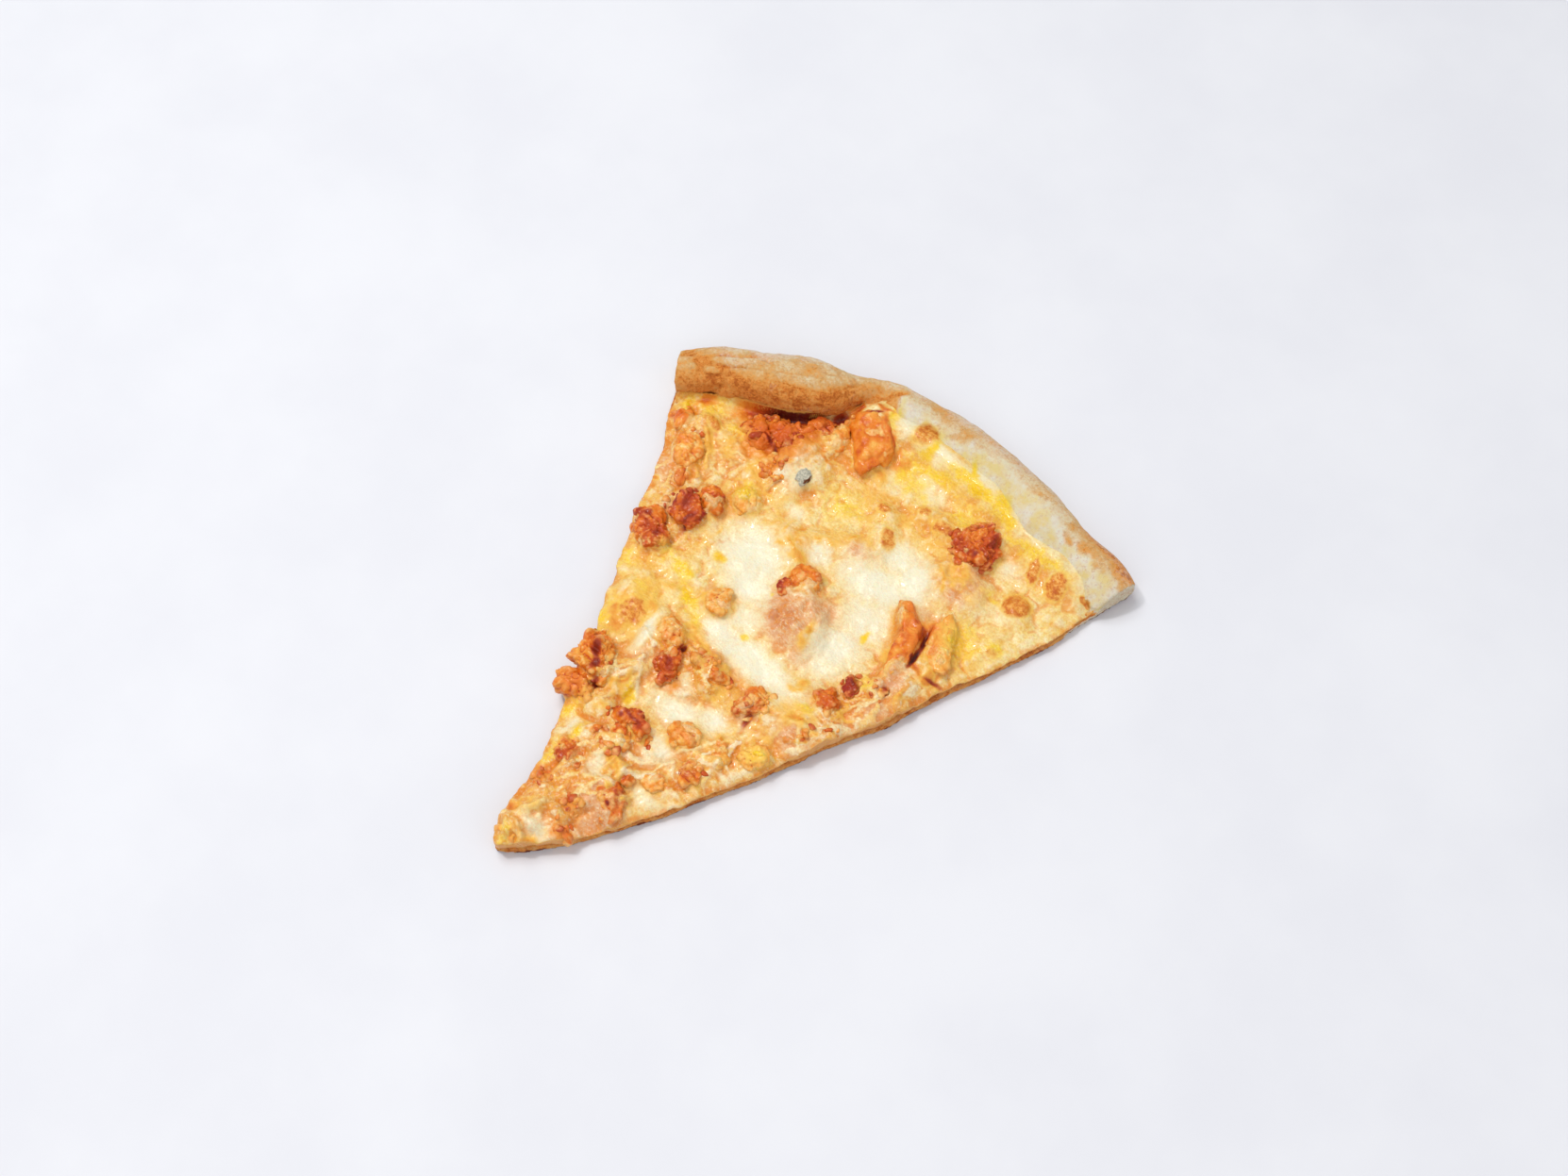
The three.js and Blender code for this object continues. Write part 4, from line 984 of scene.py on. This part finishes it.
def make_grey_crumb(material):
    """The one crumb of another kind, grey, lying on the cheese near the roll."""
    form = ball_form(5)
    mesh = bpy.data.meshes.new("grey_crumb")
    form.to_mesh(mesh)
    form.free()
    ball = mesh_points(mesh)
    shape = ball * (1 + 0.6 * fbm(ball, 0.8, 4, 301))[:, None] * GREY_CRUMB_HALF
    x, y = GREY_CRUMB
    ground = PLAN.at(CHEESE_LEVEL, np.array([x]), np.array([y]))[0]
    set_points(mesh, shape + (x, y, ground - GREY_SINK))
    set_masks(mesh, {"brown": smooth(ball[:, 0] + 0.8 * fbm(ball, 0.7, 3, 303), 0.5, 1.1)})
    finish_piece(link("grey_crumb", mesh), material, "sauced_chicken")


def crumb_points(rng, ball, number, spot, level):
    """One crumb: a ball made uneven, squashed, turned and set down in the cheese."""
    radius = rng.uniform(0.6, 1.0) + 1.1 * rng.random() ** 3
    shape = ball * (1 + 0.45 * noise(ball + 9.1 * number, 0.9, number % 50))[:, None]
    squash = np.array([rng.uniform(0.8, 1.5), rng.uniform(0.7, 1.1), rng.uniform(0.5, 0.8)])
    spin = np.array(Matrix.Rotation(rng.uniform(0, math.pi), 3, "Z"))
    return (shape * squash * radius) @ spin.T + (*spot, level - 0.15 * radius)


def scatter_crumbs(material):
    """Crumbs of chicken lying in the cheese, as one joined mesh."""
    rng = np.random.default_rng(29)
    form = ball_form(2)
    ball = np.array([v.co[:] for v in form.verts])
    ball_faces = np.array([[v.index for v in f.verts] for f in form.faces])
    form.free()
    spots, tones = [], []
    for x, y, length, width, turn, count, tone in CRUMB_ZONES:
        spots += [within(rng, x, y, length, width, turn) for _ in range(count)]
        tones += [tone] * count
    spots = np.array(spots)
    level = PLAN.at(CHEESE_LEVEL, *spots.T)
    clouds, shades, faces = [], [], []
    for n in np.flatnonzero(PLAN.at(CHEESE_EDGE, *spots.T) > 0.8):
        faces.append(ball_faces + len(clouds) * len(ball))
        clouds.append(crumb_points(rng, ball, n, spots[n], level[n]))
        shades.append(np.full(len(ball), tones[n] + rng.uniform(-0.3, 0.25)))
    points = np.vstack(clouds)
    tone = np.concatenate(shades)
    grain = fbm(points, 2.5, 3, 31)
    mesh = bpy.data.meshes.new("chicken_crumbs")
    mesh.from_pydata(to_row(points).tolist(), [], np.vstack(faces).tolist())
    set_masks(mesh, {
        "tone": tone + 0.2 * grain, "coat": 0.25 + 0.8 * grain, "crest": 0.5 + grain, "dark": tone - 0.7,
    })
    finish_piece(link("chicken_crumbs", mesh), material, "sauced_chicken")


# ---- Materials ----
class Shader:
    """A material's node tree, with short ways to add nodes to it; sizes are in millimetres."""

    def __init__(self, name):
        self.material = bpy.data.materials.new(name)
        self.material.use_nodes = True
        self.tree = self.material.node_tree
        self.tree.nodes.clear()
        self.place = self.add("ShaderNodeTexCoord").outputs["Object"]

    def add(self, kind, **settings):
        made = self.tree.nodes.new(kind)
        for name, value in settings.items():
            setattr(made, name, value)
        return made

    def put(self, socket, value):
        if isinstance(value, bpy.types.NodeSocket):
            self.tree.links.new(value, socket)
        else:
            socket.default_value = value

    def mask(self, name):
        return self.add("ShaderNodeAttribute", attribute_name=name).outputs["Fac"]

    def math(self, operation, a, b, c=0.0):
        made = self.add("ShaderNodeMath", operation=operation)
        for socket, value in zip(made.inputs, (a, b, c)):
            self.put(socket, value)
        return made.outputs[0]

    def times(self, a, b):
        return self.math("MULTIPLY", a, b)

    def weighted(self, a, a_share, b, b_share):
        return self.math("MULTIPLY_ADD", a, a_share, self.times(b, b_share))

    def noise(self, size, detail=3.0, roughness=0.6, stretch=None):
        """Noise with features about size millimetres across, drawn out where it is given a stretch."""
        made = self.add("ShaderNodeTexNoise")
        self.put(made.inputs["Scale"], 1.0 / (size * MM))
        self.put(made.inputs["Detail"], detail)
        self.put(made.inputs["Roughness"], roughness)
        place = self.place
        if stretch:
            mapping = self.add("ShaderNodeMapping")
            self.put(mapping.inputs["Vector"], place)
            self.put(mapping.inputs["Scale"], stretch)
            self.put(mapping.inputs["Rotation"], (0.0, 0.0, STREAK_TURN))
            place = mapping.outputs[0]
        self.put(made.inputs["Vector"], place)
        return made.outputs["Fac"]

    def ramp(self, value, low, high, to_low=0.0, to_high=1.0):
        made = self.add("ShaderNodeMapRange", interpolation_type="SMOOTHSTEP")
        entries = {"Value": value, "From Min": low, "From Max": high, "To Min": to_low, "To Max": to_high}
        for name, entry in entries.items():
            self.put(made.inputs[name], entry)
        return made.outputs["Result"]

    def ragged(self, name, size, amount, low=0.25, high=0.75):
        """A mask whose edge is broken up by noise."""
        broken = self.math("MULTIPLY_ADD", self.noise(size), amount, self.mask(name))
        return self.ramp(self.math("SUBTRACT", broken, amount * 0.5), low, high)

    def stain(self, colour, name, size, amount, pale, deep, reach=0.8):
        """A mask's colours laid over another: pale where the mask begins, deep where it is strong."""
        broken = self.math("MULTIPLY_ADD", self.noise(size, 4.0), amount, self.mask(name))
        broken = self.math("SUBTRACT", broken, amount * 0.5)
        colour = self.mix(self.ramp(broken, 0.0, 0.65 * reach), colour, pale)
        return self.mix(self.ramp(broken, 0.4 * reach, 1.15 * reach), colour, deep)

    def mix(self, factor, a, b, blend="MIX"):
        made = self.add("ShaderNodeMix", data_type="RGBA", blend_type=blend)
        self.put(made.inputs[0], factor)
        self.put(made.inputs[6], a)
        self.put(made.inputs[7], b)
        return made.outputs[2]

    def lay(self, colour, name, low, high, most, tint):
        """A tint laid over a colour as a mask rises from low to high, to a share of most."""
        return self.mix(self.ramp(self.mask(name), low, high, 0.0, most), colour, tint)

    def colours(self, value, stops):
        made = self.add("ShaderNodeValToRGB")
        entries = made.color_ramp.elements
        while len(entries) < len(stops):
            entries.new(0.5)
        for entry, (position, colour) in zip(entries, stops):
            entry.position = position
            entry.color = colour
        self.put(made.inputs[0], value)
        return made.outputs[0]

    def bump(self, height, distance, strength):
        made = self.add("ShaderNodeBump")
        self.put(made.inputs["Height"], height)
        self.put(made.inputs["Distance"], distance * MM)
        self.put(made.inputs["Strength"], strength)
        return made.outputs[0]

    def surface(self, **inputs):
        made = self.add("ShaderNodeBsdfPrincipled")
        for name, value in inputs.items():
            self.put(made.inputs[name.replace("_", " ")], value)
        output = self.add("ShaderNodeOutputMaterial")
        self.tree.links.new(made.outputs[0], output.inputs["Surface"])
        return self.material


def srgb(red, green, blue, gloss=0.0):
    """A colour given as it looks on a screen, 0 to 255, less the light that gloss lays over it."""
    parts = [channel / 255 for channel in (red, green, blue)]
    linear = [p / 12.92 if p <= 0.04045 else ((p + 0.055) / 1.055) ** 2.4 for p in parts]
    return (*[max(p - gloss, 0.003) for p in linear], 1.0)


def wet(red, green, blue):
    return srgb(red, green, blue, 0.028)


def dry(red, green, blue):
    return srgb(red, green, blue, 0.018)


def blistered_colour(s, colour):
    """Lays browned blisters, mottled and with a yellow halo, over a colour."""
    broken = s.times(s.mask("blister"), s.math("MULTIPLY_ADD", s.noise(1.5, 5.0, 0.7), 1.0, 0.5))
    mottle = s.colours(s.noise(1.4, 5.0, 0.75), [
        (0.4, wet(204, 104, 36)), (0.5, wet(230, 146, 60)), (0.62, wet(246, 190, 108)),
    ])
    colour = s.mix(s.ramp(broken, 0.02, 0.4, 0.0, 0.7), colour, wet(249, 206, 96))
    colour = s.mix(s.ramp(broken, 0.16, 0.7, 0.0, 0.95), colour, mottle)
    return s.lay(colour, "ring", 0.1, 0.9, 0.45, wet(204, 104, 36))


def cheese_colour(s):
    """The cheese's colour from its masks."""
    broad = s.noise(6.0, 5.0, 0.6)
    mottle = s.noise(2.4, 5.0, 0.65)
    spread = s.weighted(mottle, 0.4, broad, 0.6)
    colour = s.colours(spread, [
        (0.38, wet(240, 186, 92)), (0.46, wet(244, 208, 122)),
        (0.53, wet(247, 226, 158)), (0.6, wet(249, 236, 186)),
    ])
    colour = s.stain(colour, "gold", 3.0, 0.8, wet(246, 202, 106), wet(240, 166, 68))
    shreds = s.colours(s.weighted(mottle, 0.6, broad, 0.4), [
        (0.38, wet(200, 94, 32)), (0.46, wet(230, 146, 62)),
        (0.53, wet(246, 196, 114)), (0.62, wet(250, 222, 170)),
    ])
    colour = s.lay(colour, "lumpy", 0.1, 0.9, 0.85, shreds)
    colour = s.stain(colour, "drape", 2.2, 0.9, wet(248, 200, 104), wet(238, 156, 66), 1.0)
    # Crests paler cream: partly cream cheese, partly painted highlight.
    colour = s.mix(s.ragged("crest", 1.6, 0.6, 0.05, 0.85), colour, wet(250, 232, 186))
    # Hollows orange: partly oil, partly painted shade.
    hollow = s.colours(s.mask("cavity"), [(0.15, wet(245, 188, 88)), (0.85, wet(224, 122, 40))])
    colour = s.lay(colour, "cavity", 0.05, 0.9, 0.85, hollow)
    colour = s.stain(colour, "pink", 3.2, 0.3, wet(238, 192, 150), wet(212, 142, 102), 0.9)
    streaks = s.ramp(s.noise(2.2, 5.0, 0.65, (1.0, 2.4, 1.0)), 0.5, 0.62)
    streaks = s.times(streaks, s.ramp(s.mask("pink"), 0.2, 0.6, 0.0, 0.85))
    colour = s.mix(streaks, colour, wet(228, 144, 74))
    strand = s.colours(s.mask("shade"), [
        (0.0, wet(252, 240, 206)), (0.35, wet(250, 222, 150)),
        (0.65, wet(246, 190, 84)), (1.0, wet(226, 124, 44)),
    ])
    # Painted shade: strands darker orange on their flanks, lighter at their crowns.
    strand = s.mix(s.ramp(s.mask("crown"), 0.25, 0.8), wet(216, 122, 44), strand)
    colour = s.lay(colour, "shred", 0.1, 0.9, 0.9, strand)
    colour = s.stain(colour, "white", 4.0, 0.4, wet(247, 232, 188), wet(245, 239, 211), 0.8)
    colour = s.stain(colour, "oil", 3.0, 0.4, wet(250, 216, 92), wet(252, 210, 46))
    # More orange in the hollows, partly oil and partly painted shade, and along the creases, partly toasted
    # and partly painted shade.
    colour = s.lay(colour, "cavity", 0.1, 1.0, 0.45, wet(228, 140, 52))
    colour = s.lay(colour, "crease", 0.1, 0.9, 0.55, wet(230, 142, 48))
    grain = s.times(s.ramp(s.noise(0.8, 4.0, 0.7), 0.42, 0.62), s.mask("rough"))
    colour = s.mix(s.times(grain, 0.5), colour, wet(224, 136, 50))
    flecks = s.times(s.ramp(s.noise(1.1, 4.0, 0.7), 0.5, 0.66), s.mask("rough"))
    colour = s.mix(s.times(flecks, 0.6), colour, wet(252, 234, 190))
    colour = s.stain(colour, "toast", 2.2, 0.6, wet(246, 194, 92), wet(230, 136, 52), 1.0)
    colour = blistered_colour(s, colour)
    colour = s.stain(colour, "sauce", 1.7, 0.7, wet(241, 156, 66), wet(202, 84, 30), 1.0)
    # Burnt spots, and painted shade in the gaps.
    colour = s.stain(colour, "dark", 0.9, 0.2, wet(176, 74, 28), wet(96, 32, 14), 0.9)
    return s.stain(colour, "wall", 1.6, 0.9, wet(240, 184, 96), wet(216, 128, 54), 1.3)


def cheese_material():
    s = Shader("melted_cheese")
    fine = s.noise(1.0, 5.0, 0.7)
    streaks = s.noise(1.8, 4.0, 0.65, (1.0, 2.2, 1.0))
    height = s.weighted(fine, 0.9, streaks, 0.9)
    return s.surface(
        Base_Color=cheese_colour(s),
        Roughness=s.ramp(s.noise(3.0), 0.3, 0.75, 0.25, 0.5),
        Specular_IOR_Level=0.3,
        Coat_Weight=0.3,
        Coat_Roughness=0.09,
        Subsurface_Weight=0.2,
        Subsurface_Radius=(1.0, 0.62, 0.3),
        Subsurface_Scale=1.0 * MM,
        Normal=s.bump(height, 0.5, 0.85),
    )


def crust_material():
    s = Shader("baked_crust")
    fine = s.noise(0.9, 6.0, 0.85)
    blotch = s.noise(3.4, 5.0, 0.7)
    bake = s.math("ADD", s.mask("bake"), s.math("MULTIPLY_ADD", blotch, 0.8, -0.4))
    bake = s.math("ADD", bake, s.math("MULTIPLY_ADD", fine, 1.3, -0.65))
    colour = s.colours(bake, [
        (0.0, dry(254, 240, 208)), (0.25, dry(249, 220, 174)), (0.5, dry(241, 190, 126)),
        (0.72, dry(248, 178, 98)), (0.88, dry(240, 150, 70)), (1.0, dry(200, 108, 50)),
    ])
    dust = s.ramp(s.times(s.mask("flour"), s.noise(1.2, 5.0, 0.8)), 0.2, 0.42)
    colour = s.mix(s.times(dust, 0.7), colour, dry(252, 234, 214))
    melted = s.colours(s.noise(6.0, 4.0), [
        (0.38, dry(251, 226, 160)), (0.5, dry(253, 235, 198)), (0.6, dry(255, 243, 222)),
    ])
    melted = s.stain(melted, "oil", 2.4, 0.5, dry(252, 220, 100), dry(254, 214, 56))
    colour = s.mix(s.ragged("cheesy", 3.0, 0.5, 0.1, 0.9), colour, melted)
    colour = blistered_colour(s, colour)
    crumb = s.mix(s.ramp(fine, 0.35, 0.65), dry(230, 206, 168), dry(254, 244, 220))
    colour = s.mix(s.ragged("crumb", 0.8, 0.3, 0.3, 0.7), colour, crumb)
    colour = s.mix(s.ragged("char", 1.0, 0.6, 0.2, 0.75), colour, dry(122, 54, 26))
    pores = s.times(s.ramp(s.noise(1.3, 5.0, 0.8), 0.5, 0.6), s.ramp(s.noise(3.0), 0.3, 0.6))
    pores = s.times(pores, s.ramp(s.mask("bake"), 0.0, 0.6, 0.2, 0.5))
    colour = s.mix(pores, colour, dry(206, 128, 66))
    height = s.weighted(fine, 1.2, blotch, 0.5)
    return s.surface(
        Base_Color=colour,
        Roughness=s.ramp(blotch, 0.3, 0.7, 0.6, 0.85),
        Specular_IOR_Level=0.25,
        Subsurface_Weight=0.2,
        Subsurface_Radius=(1.0, 0.5, 0.22),
        Subsurface_Scale=1.5 * MM,
        Normal=s.bump(height, 0.8, 1.0),
    )


def chicken_material():
    s = Shader("sauced_chicken")
    fine = s.noise(0.7, 5.0, 0.7)
    blotch = s.noise(2.0, 4.0)
    tone = s.math("ADD", s.mask("tone"), s.math("MULTIPLY_ADD", blotch, 0.6, -0.22))
    colour = s.colours(tone, [
        (0.0, wet(248, 196, 104)), (0.25, wet(243, 164, 76)), (0.5, wet(232, 128, 52)),
        (0.75, wet(206, 92, 38)), (1.0, wet(160, 56, 26)),
    ])
    # Painted highlight: paler orange on the crests.
    light = s.mix(s.ramp(tone, 0.2, 0.9), wet(247, 188, 108), wet(226, 132, 80))
    colour = s.mix(s.ragged("crest", 0.9, 0.6, 0.2, 1.1), colour, light)
    film = s.mix(s.ramp(blotch, 0.4, 0.65), wet(249, 210, 134), wet(243, 162, 64))
    colour = s.mix(s.ragged("coat", 1.4, 0.7, 0.2, 1.0), colour, film)
    colour = s.stain(colour, "oil", 1.6, 0.6, wet(250, 204, 100), wet(250, 190, 60), 1.0)
    colour = s.stain(colour, "sauce", 1.4, 0.6, wet(234, 132, 62), wet(210, 92, 46), 1.1)
    # Painted shade in the hollows; on the loose crumbs, darker tone instead.
    colour = s.stain(colour, "dark", 1.0, 0.4, wet(204, 92, 32), wet(118, 38, 14), 1.0)
    # Burnt spots, and painted shade in the gaps.
    colour = s.stain(colour, "burnt", 0.9, 0.5, wet(176, 72, 30), wet(98, 34, 16), 1.1)
    height = s.weighted(fine, 0.9, blotch, 0.5)
    return s.surface(
        Base_Color=colour,
        Roughness=s.ramp(s.noise(1.6), 0.3, 0.75, 0.25, 0.5),
        Specular_IOR_Level=0.25,
        Coat_Weight=0.25,
        Coat_Roughness=0.1,
        Subsurface_Weight=0.12,
        Subsurface_Radius=(1.0, 0.4, 0.2),
        Subsurface_Scale=0.8 * MM,
        Normal=s.bump(height, 0.4, 0.9),
    )


def grey_material():
    s = Shader("grey_crumb")
    fine = s.noise(0.8, 5.0, 0.7)
    colour = s.mix(s.ramp(fine, 0.35, 0.65), wet(158, 154, 138), wet(214, 206, 184))
    colour = s.mix(s.ragged("brown", 0.9, 0.5), colour, wet(112, 68, 44))
    bump = s.bump(fine, 0.5, 0.8)
    return s.surface(Base_Color=colour, Roughness=0.45, Specular_IOR_Level=0.3, Normal=bump)


def floor_material():
    s = Shader("pale_floor")
    colour = s.mix(s.ramp(s.noise(90.0, 4.0), 0.3, 0.7), srgb(220, 219, 224), srgb(225, 224, 228))
    return s.surface(Base_Color=colour, Roughness=0.6, Specular_IOR_Level=0.2)


# ---- Stage ----
def make_floor():
    mesh = bpy.data.meshes.new("floor")
    corners = [(x * FLOOR_HALF, y * FLOOR_HALF, 0) for x, y in ((-1, -1), (1, -1), (1, 1), (-1, 1))]
    mesh.from_pydata(corners, [], [(0, 1, 2, 3)])
    floor = link("floor", mesh)
    floor.location.z = -FLOOR_DROP
    mesh.materials.append(floor_material())


def link_aimed(name, data, azimuth, elevation, distance):
    level = math.cos(elevation)
    back = Vector((math.sin(azimuth) * level, -math.cos(azimuth) * level, math.sin(elevation)))
    made = link(name, data)
    made.location = Vector(to_row(np.array([*CAMERA_AIM, 0.0]))) + back * distance
    made.rotation_euler = back.to_track_quat("Z", "Y").to_euler()
    return made


def make_camera():
    data = bpy.data.cameras.new("camera")
    data.lens = CAMERA_LENS
    data.sensor_width = 36.0
    data.sensor_fit = "HORIZONTAL"
    data.clip_start = 0.01
    bpy.context.scene.camera = link_aimed("camera", data, CAMERA_AZIMUTH, CAMERA_ELEVATION, CAMERA_DISTANCE)


def make_light(name, turn, elevation, distance, size, power, colour):
    data = bpy.data.lights.new(name, "AREA")
    data.size = size
    data.energy = power
    data.color = colour
    link_aimed(name, data, CAMERA_AZIMUTH + math.radians(turn), math.radians(elevation), distance)


def make_world():
    world = bpy.data.worlds.new("studio")
    world.use_nodes = True
    background = world.node_tree.nodes["Background"]
    background.inputs["Color"].default_value = SKY_COLOUR
    background.inputs["Strength"].default_value = SKY_STRENGTH
    bpy.context.scene.world = world


def main():
    make_camera()
    make_world()
    for light in LIGHTS:
        make_light(*light)
    make_floor()
    make_crust(crust_material())
    make_cheese(cheese_material())
    chicken = chicken_material()
    for number, node in enumerate(CHICKEN_NODES):
        make_nugget(node, chicken, number)
    scatter_crumbs(chicken)
    make_grey_crumb(grey_material())
    bpy.context.scene.view_settings.view_transform = "Standard"


main()
